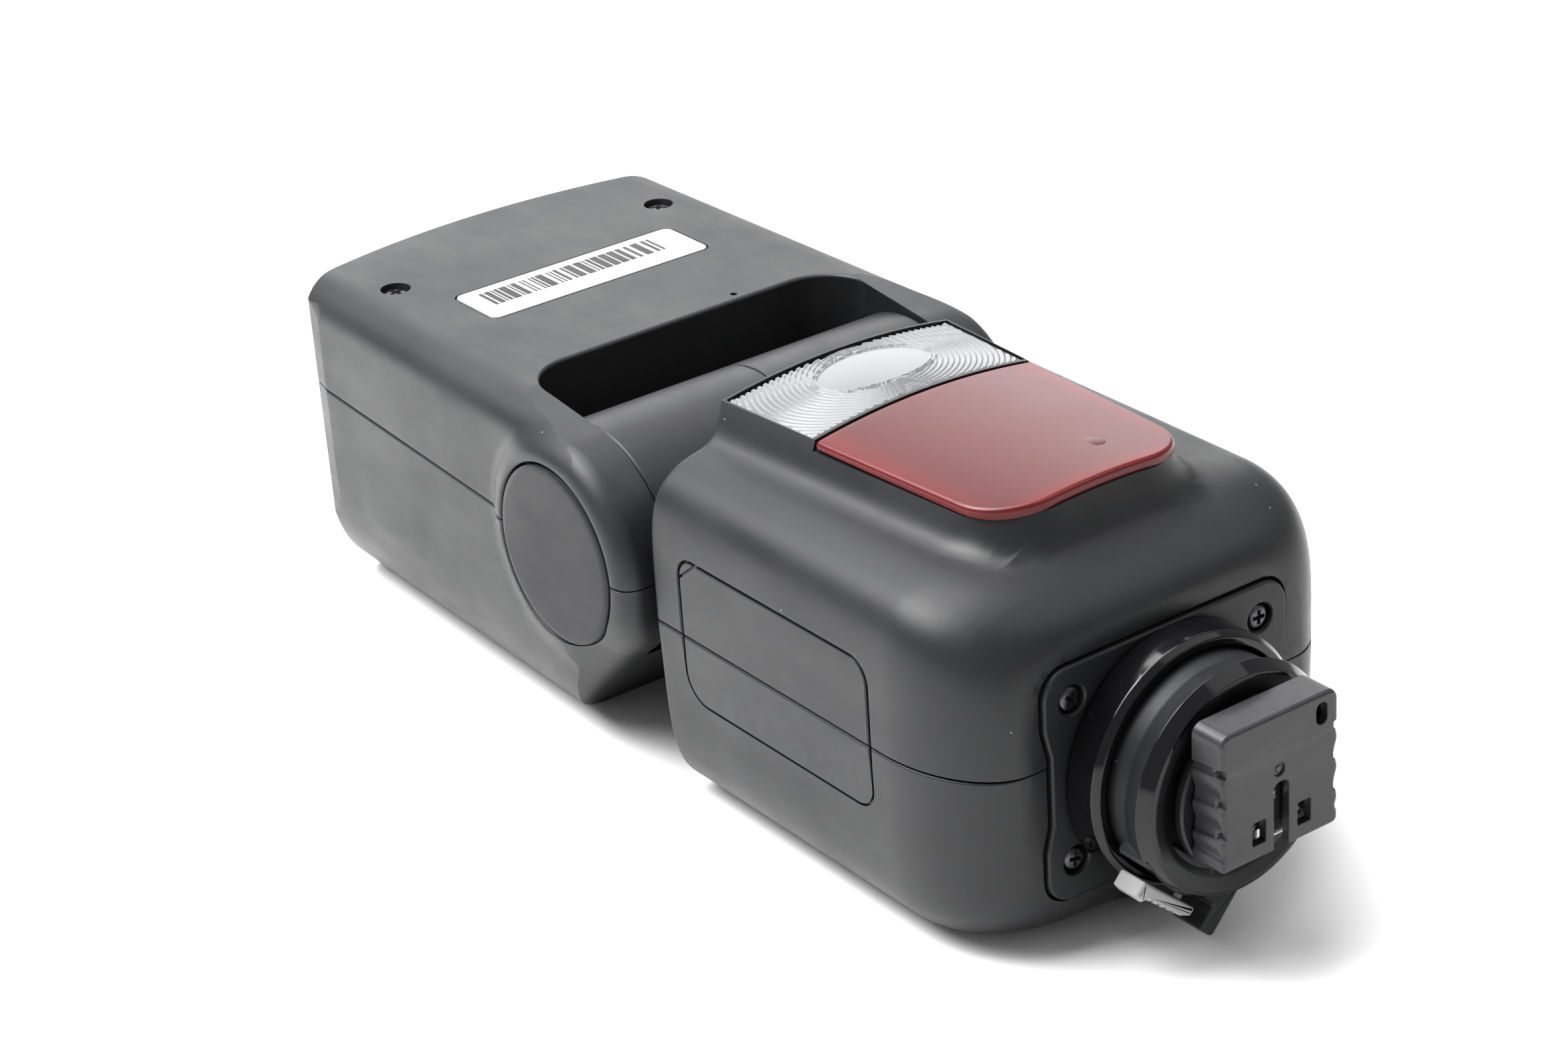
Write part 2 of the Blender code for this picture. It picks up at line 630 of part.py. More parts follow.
def lock_ring():
    """Lock ring with its arm, release tab and the tab's spring."""
    centre = (0, 0, RING_Z)
    pivot = (0, 10.0, RING_Z)
    profile = [(12.0, 8.3), (15.3, 7.0), (16.3, 6.8), (16.7, 7.3), (16.7, 8.8), (15.5, 9.5), (15.5, 17.8),
               (9.7, 17.8), (9.7, 9.4), (12.0, 9.0)]
    ring = turned("lock_ring", "Y", centre, profile, "fine", pivot, steps=48, ring=True)
    arm = arm_box("arm_join", (-7.4, 11.4), (11.0, 15.4), (8.2, 13.8))
    stop = arm_box("arm_stop_join", (8.5, 11.4), (13.0, 19.3), (8.2, 13.8))
    hole = arm_box("spring_hole_cut", (-0.6, 3.0), (12.9, 17.0), (9.3, 12.7))
    room = arm_box("tab_room_cut", (-5.8, 8.3), (15.6, 17.6), (8.3, 14.0))
    combine(ring, "UNION", arm, stop)
    combine(ring, "DIFFERENCE", hole, room)
    tab_place = on_arm(1.2, 19.0)
    arm_box("release_tab", (-5.4, 7.9), (17.0, 19.6), (8.6, 13.4), "grey",
            (tab_place[0], 11.0, tab_place[1]))
    turned("bezel_ring", "Y", centre,
           [(16.2, 15.0), (17.2, 15.0), (17.9, 15.9), (17.9, 20.5), (15.9, 20.5), (15.9, 15.4)],
           "gloss", (0, 18.0, RING_Z), steps=48, ring=True)


def bottom_plate():
    """Plate that closes the body's foot end, and its four screws."""
    plate = flat("bottom_plate", "XZ", [plate_outline()], (PLATE_FACE, PLATE_BACK), "fine")
    stem_hole = rods("stem_hole_cut", "Y", [(0, 0, RING_Z)], 9.5, (19, 25), steps=28)
    heads = rods("screw_head_cut", "Y", SCREWS, 2.05, (20, 22.2), steps=14)
    shanks = rods("screw_shank_cut", "Y", SCREWS, 1.2, (21, 25), steps=10)
    combine(plate, "DIFFERENCE", stem_hole, heads, shanks)
    for i, (x, _, z) in enumerate(SCREWS):
        head = [(0, 21.1), (1.5, 21.1), (1.75, 21.4), (1.75, 21.9), (0.9, 21.9), (0.9, 25.0), (0, 25.0)]
        turned(f"bottom_screw_{i + 1}", "Y", (x, 0, z), head, "dark_steel", (x, 21.1, z), steps=12)


# ------------------------------------------------------------ neck


def neck():
    """Two half barrels on a swivel tube, with the tilt axle through them."""
    for side, name in ((-1, "neck_half_left"), (1, "neck_half_right")):
        span = sorted((side * 0.1, side * DRUM_HALF))
        cup = sorted((side * -1.0, side * 26.2))
        pivot = (0, AXIS_Y, AXIS_Z)
        barrel = rods(name, "X", [pivot], DRUM_RADIUS, span, "satin", pivot, steps=48)
        base = flat(f"{name}_base_join", "XZ",
                    [rounded(rectangle(sorted((side * 0.1, side * 14.0)), (-3.1, 12.9)), 1.0, 1)],
                    (90.4, 100.0))
        hollow = rods(f"{name}_hollow_cut", "X", [pivot], 14.9, cup, steps=32)
        bore = rods(f"{name}_cable_cut", "Y", [(0, 0, AXIS_Z)], 6.0, (88.0, 96.0), steps=20)
        axle_hole = rods(f"{name}_axle_cut", "X", [pivot], 4.3, (-32.0, 32.0), steps=20)
        combine(barrel, "UNION", base)
        combine(barrel, "DIFFERENCE", hollow, bore, axle_hole)
    tube = [(7.2, 85.2), (13.8, 85.2), (13.8, 87.2), (11.6, 87.2), (11.6, 90.1), (7.2, 90.1)]
    turned("swivel_tube", "Y", (0, 0, AXIS_Z), tube, "steel", (0, BODY_TOP, AXIS_Z), steps=32, ring=True)
    axle = [(2.6, -34.2), (4.0, -34.2), (4.0, 34.2), (2.6, 34.2)]
    turned("tilt_axle", "X", (0, AXIS_Y, AXIS_Z), axle, "steel", (0, AXIS_Y, AXIS_Z), steps=20, ring=True)


# ------------------------------------------------------------ head


def head_width(y, inset=0.0):
    run = min(max((y - 112.0) / 73.0, 0.0), 1.0)
    return HEAD_HALF + (HEAD_HALF_END - HEAD_HALF) * run - inset


def head_seam(y):
    return HEAD_SEAM + HEAD_SEAM_RISE * max(y - AXIS_Y, 0.0) / (LENGTH - AXIS_Y)


def head_lower_half(y, inset=0.0, lift=GAP / 2):
    """Right half of the section on the label's side of the seam."""
    half = head_width(y, inset)
    top, radius = HEAD_TOP - inset, 5.0
    bend = arc((half - radius, top - radius), radius, 90, 0, 5)
    return [(0.0, top), *bend, (half, head_seam(y) + lift)]


def head_upper_half(y, inset=0.0, lift=GAP / 2):
    """Right half of the section on the other side of the seam."""
    half = head_width(y, inset)
    floor, across, up = REST + inset, 12.0, 19.0
    bend = [(half - across * (1 - x), floor + up * (1 + z)) for x, z in arc((0.0, 0.0), 1.0, 0, -90, 7)]
    return [(half, head_seam(y) - lift), *bend, (0.0, floor)]


def head_side_outline():
    """The head seen from the side: flat sides that run into the rounds of the ears."""
    pivot = (AXIS_Y, AXIS_Z)
    return [(LENGTH + 2, REST - 2), (LENGTH + 2, HEAD_TOP + 2), (124.0, HEAD_TOP + 2),
            (124.0, HEAD_TOP + 0.01),
            *arc(pivot, EAR_RADIUS, 96, 235, 18), (120.0, REST - 0.01), (120.0, REST - 2)]


def head_plan_outline(grow=0.0):
    """The head seen from the label's side, with the gentle curve of its window end."""
    centre = (0.0, LENGTH - END_ARC)
    far = arc(centre, END_ARC + grow, 90 - 16.2, 90 + 16.2, 10)
    return [(-60, 80), (60, 80), (60, far[0][1] - 4.0), (far[0][0] + 0.8, far[0][1] - 4.0), *far,
            (far[-1][0] - 0.8, far[-1][1] - 4.0), (-60, far[-1][1] - 4.0)]


HEAD_SCREWS = [(x, 170.1, 0.0) for x in (-24.8, 24.8)]
PIVOT = (0.0, AXIS_Y, AXIS_Z)


def head_covers():
    """The head's two shells, cut for the neck, the axle, the window and the panel slot."""
    stations = (90.0, 112.0, 150.0, LENGTH + 1.0)
    side = flat("head_side_trim", "YZ", [head_side_outline()], (-50, 50))
    plan = flat("head_plan_trim", "XY", [head_plan_outline()], (-40, 40))
    inside = [ring_at(y, mirrored(head_lower_half(y, HEAD_WALL, 0) + head_upper_half(y, HEAD_WALL, 0)[1:]))
              for y in (131.4, 150.0, 183.0)]
    hollow = loft("head_hollow_cut", inside)
    cavity_outline = rounded(rectangle((-CAVITY_HALF, CAVITY_HALF), (70, CAVITY_Y)), [0, 0, 8, 8], 5)
    cavity = flat("neck_cavity_cut", "XY", [cavity_outline], (AXIS_Z, 40))
    barrel = rods("neck_barrel_cut", "X", [PIVOT], EAR_RADIUS + 0.4, (-CAVITY_HALF, CAVITY_HALF), steps=48)
    motor_bay = box("motor_bay_cut", (-8, 8), (118.5, 133), (-24.4, -15.0))
    axle = rods("head_axle_cut", "X", [PIVOT], 4.3, (-34.6, 34.6), steps=20)
    caps = rods("cap_seat_left_cut", "X", [PIVOT], CAP_RADIUS + GAP, (-40, -35.6), steps=36)
    caps_right = rods("cap_seat_right_cut", "X", [PIVOT], CAP_RADIUS + GAP, (35.6, 40), steps=36)
    window = box("window_cut", (-WINDOW_HALF - GAP, WINDOW_HALF + GAP), (176, 192),
                 (WINDOW_LOW - GAP, WINDOW_HIGH + GAP))
    slot = box("panel_slot_cut", (-23.4, 23.4), (176, 192), (-25.6, -22.7))
    shared = (hollow, barrel, axle, caps, caps_right, window)

    lower = loft("head_lower_cover",
                 [ring_at(y, mirrored(head_lower_half(y))) for y in stations], "satin", PIVOT)
    bosses = rods("head_boss_join", "Z", HEAD_SCREWS, 3.6, (16.4, 23.4), steps=16)
    recess = rods("head_screw_cut", "Z", HEAD_SCREWS, 2.6, (22.4, 27.0), steps=18)
    holes = rods("head_shank_cut", "Z", HEAD_SCREWS, 1.3, (10.0, 23.5), steps=10)
    label = flat("label_seat_cut", "XY", [rounded(rectangle((-20.5, 20.1), (148.6, 160.8)), 1.6, 3)],
                 (HEAD_TOP - 0.3, 30))
    pinhole = rods("pinhole_cut", "Z", [(11.5, 131.0, 0)], 0.5, (23.4, 27.0), steps=8)
    combine(lower, "INTERSECT", side, plan)
    combine(lower, "DIFFERENCE", *shared, cavity)
    combine(lower, "UNION", bosses)
    combine(lower, "DIFFERENCE", recess, holes, label, pinhole)

    upper = loft("head_upper_cover",
                 [ring_at(y, mirrored(head_upper_half(y)[::-1])) for y in stations], "satin", PIVOT)
    combine(upper, "INTERSECT", side, plan)
    combine(upper, "DIFFERENCE", *shared, slot, motor_bay)


def head_trim():
    """Hinge caps, screws and label on the head."""
    for side, name in ((-1, "hinge_cap_left"), (1, "hinge_cap_right")):
        faces = [(0, 35.9), (CAP_RADIUS, 35.9), (CAP_RADIUS, 37.3),
                 (CAP_RADIUS - 0.5, CAP_FACE), (0, CAP_FACE)]
        profile = faces if side > 0 else [(r, -x) for r, x in reversed(faces)]
        turned(name, "X", PIVOT, profile, "satin", PIVOT, steps=40)
    for i, (x, y, _) in enumerate(HEAD_SCREWS):
        head = [(0, 15.4), (1.0, 15.4), (1.0, 22.6), (2.2, 22.6), (2.2, 23.4), (1.9, 23.7), (0, 23.7)]
        turned(f"head_screw_{i + 1}", "Z", (x, y, 0), head, "dark_steel", (x, y, 23.7), steps=14)
    flat("serial_label", "XY", [rounded(rectangle((-20.2, 19.8), (148.9, 160.5)), 1.4, 3)],
         (HEAD_TOP - 0.2, HEAD_TOP + 0.05), "white")


def window_parts():
    """The window that the light leaves by, the wide panel and the bounce card."""
    low = arc((0.0, LENGTH - END_ARC), END_ARC - 0.6, 90 - 13.95, 90 + 13.95, 12)
    deep = arc((0.0, LENGTH - END_ARC), END_ARC - 3.4, 90 + 14.3, 90 - 14.3, 12)
    outline = [(max(min(x, WINDOW_HALF), -WINDOW_HALF), y) for x, y in low + deep]
    flat("flash_window", "XY", [outline], (WINDOW_LOW, WINDOW_HIGH), "clear", (0, LENGTH - 0.6, -2.0))
    panel = rounded(rectangle((-23.0, 23.0), (143.0, 185.9)), 1.5, 2)
    flat("wide_panel", "XY", [panel], (-23.9, -23.0), "clear", (0, 185.9, -23.4))
    card = rounded(rectangle((-23.0, 23.0), (143.0, 186.2)), 1.5, 2)
    flat("bounce_card", "XY", [card], (-25.2, -24.3), "white", (0, 186.2, -24.8))


def wedge_ring(y, half, low, high):
    return [(-half, y, low), (half, y, low), (half, y, high), (-half, y, high)]


def zoom_unit():
    """Flash tube and reflector on a carriage that a motor drives along two rods."""
    origin = (0.0, 150.0, -2.0)
    outer = loft("reflector", [wedge_ring(151.6, 19.6, -8.2, 4.2), wedge_ring(178.0, 27.4, -17.6, 14.6)],
                 "mirror", origin)
    inner = loft("reflector_cut", [wedge_ring(151.0, 18.7, -7.3, 3.3), wedge_ring(179.0, 27.0, -17.2, 14.2)])
    combine(outer, "DIFFERENCE", inner)
    rods("flash_tube", "X", [(0, 155.4, -2.0)], 2.3, (-17.4, 17.4), "clear", origin, steps=16)
    frame = [(-31.4, 8.0), (-31.4, -9.0), (-22.0, -22.4), (22.0, -22.4), (31.4, -9.0), (31.4, 8.0)]
    carriage = flat("zoom_carriage", "XZ", [frame], (147.6, 151.2), "fine", origin)
    rod_holes = rods("rod_hole_cut", "Y", [(x, 0, -6.0) for x in (-29.8, 29.8)], 1.25, (140, 160), steps=12)
    screw_hole = rods("nut_cut", "Y", [(0, 0, -19.8)], 1.5, (140, 160), steps=12)
    combine(carriage, "DIFFERENCE", rod_holes, screw_hole)
    for side, name in ((-1, "guide_rod_left"), (1, "guide_rod_right")):
        rods(name, "Y", [(side * 29.8, 0, -6.0)], 0.95, (131.8, 182.4), "steel", steps=12)
    thread = []
    pitch = 4.0
    for i in range(12):
        y = 132.2 + i * pitch
        thread += [(0.9, y), (1.2, y + 1.0), (1.2, y + 2.4), (0.9, y + 3.4)]
    turned("lead_screw", "Y", (0, 0, -19.8), [(0, 131.7), *thread, (0, 181.4)], "steel",
           (0, 131.7, -19.8), steps=10)
    can = [(0, 119.0), (3.8, 119.0), (4.3, 119.5), (4.3, 130.5), (3.8, 131.0), (0, 131.0)]
    turned("zoom_motor", "Y", (0, 0, -19.8), can, "steel", steps=20)
    box("trigger_board", (-20.0, 20.0), (133.0, 165.0), (18.6, 20.0), "board")


casing()
windows()
front_electronics()
electronics()
battery()
port_flap()
controls()
foot()
foot_cap()
lock_ring()
bottom_plate()
neck()
head_covers()
head_trim()
window_parts()
zoom_unit()
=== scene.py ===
"""Looks of the speedlight flash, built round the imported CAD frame.

Shapes are made in millimetres from the flash's own datum, as in the CAD: X is the width, Y runs from
the foot cap's outer face to the head's window, and Z is the front of the flash, 0 in the cap's middle.
"""

import math
import random

import bmesh
import bpy
from mathutils import Matrix, Vector


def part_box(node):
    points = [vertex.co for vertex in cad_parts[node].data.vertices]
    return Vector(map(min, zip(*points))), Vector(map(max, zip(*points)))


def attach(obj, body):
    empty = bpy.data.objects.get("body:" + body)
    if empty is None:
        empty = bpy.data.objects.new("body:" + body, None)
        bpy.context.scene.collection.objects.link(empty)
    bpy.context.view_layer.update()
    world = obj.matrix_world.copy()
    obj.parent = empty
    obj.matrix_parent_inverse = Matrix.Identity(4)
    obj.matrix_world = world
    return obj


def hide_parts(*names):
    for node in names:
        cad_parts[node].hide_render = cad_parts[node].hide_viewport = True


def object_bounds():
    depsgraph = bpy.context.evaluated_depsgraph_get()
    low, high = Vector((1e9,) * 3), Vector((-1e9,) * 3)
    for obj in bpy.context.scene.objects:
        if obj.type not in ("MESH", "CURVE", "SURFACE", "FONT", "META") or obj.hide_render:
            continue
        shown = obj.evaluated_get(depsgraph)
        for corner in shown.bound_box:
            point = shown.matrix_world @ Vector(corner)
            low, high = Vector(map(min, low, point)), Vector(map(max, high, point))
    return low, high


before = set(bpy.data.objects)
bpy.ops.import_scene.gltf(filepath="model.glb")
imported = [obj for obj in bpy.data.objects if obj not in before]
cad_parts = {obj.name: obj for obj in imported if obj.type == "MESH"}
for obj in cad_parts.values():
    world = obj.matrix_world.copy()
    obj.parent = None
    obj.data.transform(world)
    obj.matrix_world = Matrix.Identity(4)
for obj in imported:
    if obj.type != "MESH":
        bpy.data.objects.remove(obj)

CAD_LOW, CAD_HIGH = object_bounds()
MM = 0.001
REST = -28.0  # the flash's back, which lies on the floor
MERGE, SLIVER = 0.0004, 0.0002  # points this near are one, and faces this thin are dropped, in millimetres
DATUM = Vector(((CAD_LOW.x + CAD_HIGH.x) / 2, CAD_LOW.y, CAD_LOW.z - REST * MM))
TO_FRAME = Matrix.Translation(DATUM) @ Matrix.Scale(MM, 4)
SCENE = bpy.context.scene


def limits(node):
    """A CAD node's box in millimetres from the flash's datum: its lowest and highest corner."""
    low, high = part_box(node)
    return (low - DATUM) / MM, (high - DATUM) / MM


def middle(node):
    low, high = limits(node)
    return (low + high) / 2


# ---------------------------------------------------------------- materials


class Graph:
    """A material's nodes, with short calls for the ones used here."""

    def __init__(self, name):
        self.made = bpy.data.materials.new(name)
        self.made.use_nodes = True
        self.tree = self.made.node_tree
        self.shader = self.tree.nodes["Principled BSDF"]
        self.place = self.node("ShaderNodeTexCoord").outputs["Object"]

    def node(self, kind, **settings):
        made = self.tree.nodes.new(kind)
        for key, value in settings.items():
            setattr(made, key, value)
        return made

    def feed(self, socket, value):
        if isinstance(value, bpy.types.NodeSocket):
            self.tree.links.new(value, socket)
        else:
            socket.default_value = value

    def texture(self, kind, output, place=None, settings=(), **numbers):
        made = self.node(kind, **dict(settings))
        self.feed(made.inputs["Vector"], place or self.place)
        for name, number in numbers.items():
            made.inputs[name].default_value = number
        return made.outputs[output]

    def noise(self, scale, detail=2.0, rough=0.5, place=None):
        return self.texture("ShaderNodeTexNoise", "Fac", place, Scale=scale, Detail=detail, Roughness=rough)

    def stretch(self, scale):
        return self.texture("ShaderNodeMapping", "Vector", Scale=scale)

    def span(self, value, low, high, to_low=0.0, to_high=1.0):
        made = self.node("ShaderNodeMapRange")
        for socket, number in zip(made.inputs, (value, low, high, to_low, to_high)):
            self.feed(socket, number)
        return made.outputs["Result"]

    def maths(self, operation, first, second=0.0):
        made = self.node("ShaderNodeMath", operation=operation)
        self.feed(made.inputs[0], first)
        self.feed(made.inputs[1], second)
        return made.outputs[0]

    def mix(self, share, first, second):
        made = self.node("ShaderNodeMix", data_type="RGBA")
        colours = [s for s in made.inputs if s.type == "RGBA"]
        self.feed(made.inputs[0], share)
        for socket, colour in zip(colours, (first, second)):
            self.feed(socket, colour if isinstance(colour, bpy.types.NodeSocket) else (*colour, 1.0))
        return next(s for s in made.outputs if s.type == "RGBA")

    def axis(self, name, vector=None):
        split = self.node("ShaderNodeSeparateXYZ")
        self.feed(split.inputs[0], vector or self.place)
        return split.outputs[name]

    def teeth(self, pitch):
        """Back and forth between 0 and 1 along X, and the same along Y."""
        return [self.maths("PINGPONG", self.maths("MULTIPLY", self.axis(name), pitch), 1.0) for name in "XY"]

    def bump(self, height, depth, strength=1.0, under=None):
        made = self.node("ShaderNodeBump")
        made.inputs["Distance"].default_value = depth
        made.inputs["Strength"].default_value = strength
        self.feed(made.inputs["Height"], height)
        if under:
            self.feed(made.inputs["Normal"], under)
        return made.outputs["Normal"]

    def set(self, **values):
        for name, value in values.items():
            self.feed(self.shader.inputs[name.replace("_", " ")], value)


def plastic(name, colour, rough, grain=0.22, depth=0.006, spread=0.06, worn=0.25, dust=1.0, level=0.38):
    """Moulded plastic: fine spark-eroded grain, slow tone changes, polished edges and a little dust."""
    g = Graph(name)
    fine = g.noise(1000 / grain, 3.0, 0.6)
    slow = g.noise(45.0, 3.0, 0.6)
    smear = g.noise(260.0, 4.0, 0.65, g.stretch((1.0, 0.35, 1.0)))
    edge = g.span(g.node("ShaderNodeNewGeometry").outputs["Pointiness"], 0.505, 0.56)
    edge = g.maths("MULTIPLY", edge, g.span(g.noise(420.0, 2.0), 0.35, 0.65, 0.3, 1.0))
    tone = [tuple(c * k for c in colour) for k in (0.82, 1.2, 2.4)]
    body = g.mix(slow, tone[0], tone[1])
    body = g.mix(g.maths("MULTIPLY", edge, worn), body, tone[2])
    speck = g.maths("LESS_THAN", g.texture("ShaderNodeTexVoronoi", "Distance", Scale=240.0), 0.034)
    speck = g.maths("MULTIPLY", speck, g.maths("GREATER_THAN", g.noise(70.0), 0.56))
    body = g.mix(g.maths("MULTIPLY", speck, 0.35 * dust), body, (0.5, 0.5, 0.49))
    shine = g.maths("ADD", g.span(slow, 0.3, 0.7, rough - spread, rough + spread),
                    g.span(smear, 0.35, 0.75, 0.0, spread))
    shine = g.maths("SUBTRACT", shine, g.maths("MULTIPLY", edge, 0.12 * worn))
    g.set(Base_Color=body, Roughness=shine, Specular_IOR_Level=level,
          Normal=g.bump(fine, depth * MM, 0.9, g.bump(slow, 0.02 * MM, 0.5)))
    return g.made


def metal(name, colour, rough, brushed=(1.0, 1.0, 1.0), tarnish=0.3):
    """Bare or plated metal with fine scratches along one direction and darker patches."""
    g = Graph(name)
    lines = g.noise(2600.0, 4.0, 0.7, g.stretch(brushed))
    patch = g.noise(180.0, 4.0, 0.6)
    dark = tuple(c * (1 - tarnish) for c in colour)
    g.set(Base_Color=g.mix(g.span(patch, 0.35, 0.65), dark, colour), Metallic=1.0,
          Roughness=g.span(lines, 0.3, 0.7, rough - 0.06, rough + 0.10),
          Normal=g.bump(lines, 0.004 * MM, 0.6))
    return g.made


def clear(name, colour, rough):
    """Clear moulded plastic with faint flow marks."""
    g = Graph(name)
    flow = g.noise(160.0, 3.0, 0.6, g.stretch((1.0, 0.4, 1.0)))
    g.set(Base_Color=g.mix(flow, tuple(c * 0.94 for c in colour), colour), Transmission_Weight=1.0,
          IOR=ACRYLIC_IOR, Roughness=g.span(flow, 0.3, 0.7, rough, rough + 0.03),
          Normal=g.bump(flow, 0.01 * MM, 0.4))
    return g.made


ACRYLIC_IOR = 1.49
MATERIALS = {
    "body": plastic("black_satin_plastic", (0.017, 0.0175, 0.019), 0.40, depth=0.010),
    "head": plastic("head_satin_plastic", (0.019, 0.0195, 0.021), 0.42, depth=0.010),
    "disc": plastic("hinge_disc_plastic", (0.013, 0.0135, 0.015), 0.44, depth=0.010, level=0.26),
    "fine": plastic("black_fine_plastic", (0.013, 0.0135, 0.015), 0.46, grain=0.16, depth=0.008),
    "cap": plastic("foot_cap_plastic", (0.026, 0.026, 0.028), 0.34, grain=0.30, depth=0.006, worn=0.4),
    "gloss": plastic("black_gloss_plastic", (0.006, 0.006, 0.007), 0.09, grain=0.8, depth=0.002, spread=0.03,
                     dust=0.5),
    "dull": plastic("black_inner_plastic", (0.008, 0.008, 0.008), 0.62, dust=0.3),
    "rubber": plastic("black_rubber", (0.016, 0.016, 0.016), 0.68, grain=0.35, depth=0.02, dust=1.5,
                      level=0.35),
    "grey": plastic("light_grey_plastic", (0.27, 0.27, 0.27), 0.42, grain=0.3, worn=0.0, dust=0.4),
    "white": plastic("white_plastic", (0.78, 0.78, 0.76), 0.5, grain=0.3, worn=0.0, dust=0.0),
    "screw": metal("black_oxide_steel", (0.11, 0.11, 0.115), 0.34),
    "steel": metal("brushed_steel", (0.56, 0.56, 0.57), 0.24, (1.0, 0.08, 1.0)),
    "mirror": metal("bright_reflector", (0.90, 0.90, 0.89), 0.07, tarnish=0.05),
    "clear": clear("clear_acrylic", (0.97, 0.98, 0.99), 0.02),
    "paper": plastic("label_film", (0.42, 0.42, 0.415), 0.42, grain=0.5, depth=0.003, worn=0.0, dust=0.3),
    "ink": plastic("grey_ink", (0.025, 0.025, 0.025), 0.5, grain=0.3, depth=0.002, worn=0.0, dust=0.0),
    "sensor": plastic("smoked_window", (0.072, 0.022, 0.022), 0.32, depth=0.002, worn=0.0, dust=0.0),
    "sleeve": plastic("capacitor_sleeve", (0.02, 0.02, 0.05), 0.3, grain=0.6, worn=0.0, dust=0.0),
    "mark": plastic("grey_mark", (0.075, 0.075, 0.078), 0.5, worn=0.0),
}


# ---------------------------------------------------------------- shapes


def arc(centre, radius, start, end, steps):
    """Points on an arc, with both ends, from one angle in degrees to another."""
    turns = [math.radians(start + (end - start) * i / steps) for i in range(steps + 1)]
    return [(centre[0] + radius * math.cos(a), centre[1] + radius * math.sin(a)) for a in turns]


def rounded(corners, radius, steps=6, closed=True):
    """An outline with each corner rounded; radius is one number or one for each corner."""
    outline = []
    count = len(corners)
    radii = radius if isinstance(radius, (list, tuple)) else [radius] * count
    for i, corner in enumerate(corners):
        here = Vector(corner)
        if not radii[i] or (not closed and i in (0, count - 1)):
            outline.append(tuple(here))
            continue
        back = (Vector(corners[i - 1]) - here).normalized()
        on = (Vector(corners[(i + 1) % count]) - here).normalized()
        half = back.angle(on) / 2
        centre = here + (back + on).normalized() * radii[i] / math.sin(half)
        first = (here + back * radii[i] / math.tan(half) - centre).normalized()
        last = (here + on * radii[i] / math.tan(half) - centre).normalized()
        for k in range(steps + 1):
            outline.append(tuple(centre + first.slerp(last, k / steps) * radii[i]))
    return outline


def circle(centre, radius, steps=48):
    return arc(centre, radius, 0, 360 - 360 / steps, steps - 1)


def rectangle(x, y):
    return [(x[0], y[0]), (x[1], y[0]), (x[1], y[1]), (x[0], y[1])]


def seen(node, plane="XY", grow=0.0):
    """The outline of a CAD node's box across a plane, grown on every side."""
    low, high = limits(node)
    return rectangle(*[(getattr(low, c) - grow, getattr(high, c) + grow) for c in plane.lower()])


def corner_normals(outline):
    """The outward unit normals of the two edges that meet at each corner."""
    count = len(outline)
    area = sum(outline[i - 1][0] * outline[i][1] - outline[i][0] * outline[i - 1][1] for i in range(count))
    side = 1.0 if area > 0 else -1.0
    pairs = []
    for i in range(count):
        before = Vector(outline[i]) - Vector(outline[i - 1])
        after = Vector(outline[(i + 1) % count]) - Vector(outline[i])
        pairs.append([Vector((d.y, -d.x)).normalized() * side for d in (before, after)])
    return pairs


def offset(outline, grow):
    """The outline moved outwards by grow, each point along its own corner's bisector."""
    if not grow:
        return list(outline)
    moved = []
    for point, (first, second) in zip(outline, corner_normals(outline)):
        bisector = first + second
        bisector /= max(bisector.dot(first), 0.5)
        moved.append(tuple(Vector(point) + bisector * grow))
    return moved


def centroid(outline):
    return tuple(sum(p[i] for p in outline) / len(outline) for i in (0, 1))


def shrunk(ring, centre, share):
    """A ring drawn in towards a centre, to this share of its size."""
    return [(centre[0] + (p[0] - centre[0]) * share, centre[1] + (p[1] - centre[1]) * share) for p in ring]


def quarter(steps):
    """How far a rounded edge falls and draws in, as shares of its radius, along a quarter turn."""
    turns = [math.pi / 2 * i / steps for i in range(steps + 1)]
    return [(1 - math.sin(a), 1 - math.cos(a)) for a in turns]


def in_plane(plane, a, b, depth):
    return {"XY": (a, b, depth), "XZ": (a, depth, b), "YZ": (depth, a, b)}[plane]


def skin(rings, cyclic=False):
    """A closed mesh through rings of points that have the same count. A one-point ring is a pole."""
    shape = bmesh.new()
    rows = [[shape.verts.new(point) for point in ring] for ring in rings]
    pairs = list(zip(rows, rows[1:])) + ([(rows[-1], rows[0])] if cyclic else [])
    for first, second in pairs:
        count = max(len(first), len(second))
        for i in range(count):
            j = (i + 1) % count
            if len(first) == 1:
                shape.faces.new((first[0], second[j], second[i]))
            elif len(second) == 1:
                shape.faces.new((first[i], first[j], second[0]))
            else:
                shape.faces.new((first[i], first[j], second[j], second[i]))
    if not cyclic:
        for row in (rows[0], rows[-1]):
            if len(row) > 2:
                shape.faces.new(row)
    bmesh.ops.recalc_face_normals(shape, faces=shape.faces)
    return shape


def extruded(outline, plane, stations):
    """An outline carried across its plane. Each station is (depth, growth of the outline there)."""
    return skin([[in_plane(plane, a, b, depth) for a, b in offset(outline, grow)]
                 for depth, grow in stations])


def soft(low, high, at_low, at_high=None, steps=4):
    """Stations from low to high whose two edges are rounded by these radii."""
    at_high = at_low if at_high is None else at_high
    first = [(low + at_low * fall, -at_low * draw) for fall, draw in reversed(quarter(steps))]
    last = [(high - at_high * fall, -at_high * draw) for fall, draw in quarter(steps)]
    return (first if at_low else [(low, 0.0)]) + (last if at_high else [(high, 0.0)])


def flared(surface, depth, radius, outward=1.0, steps=5):
    """Stations of a cutter that sinks to depth and rounds the edge it leaves at a surface."""
    lip = [(surface - outward * radius * fall, radius * draw) for fall, draw in quarter(steps)]
    return [(depth, 0.0), *lip, (surface + outward * 0.6, radius + 0.25)]


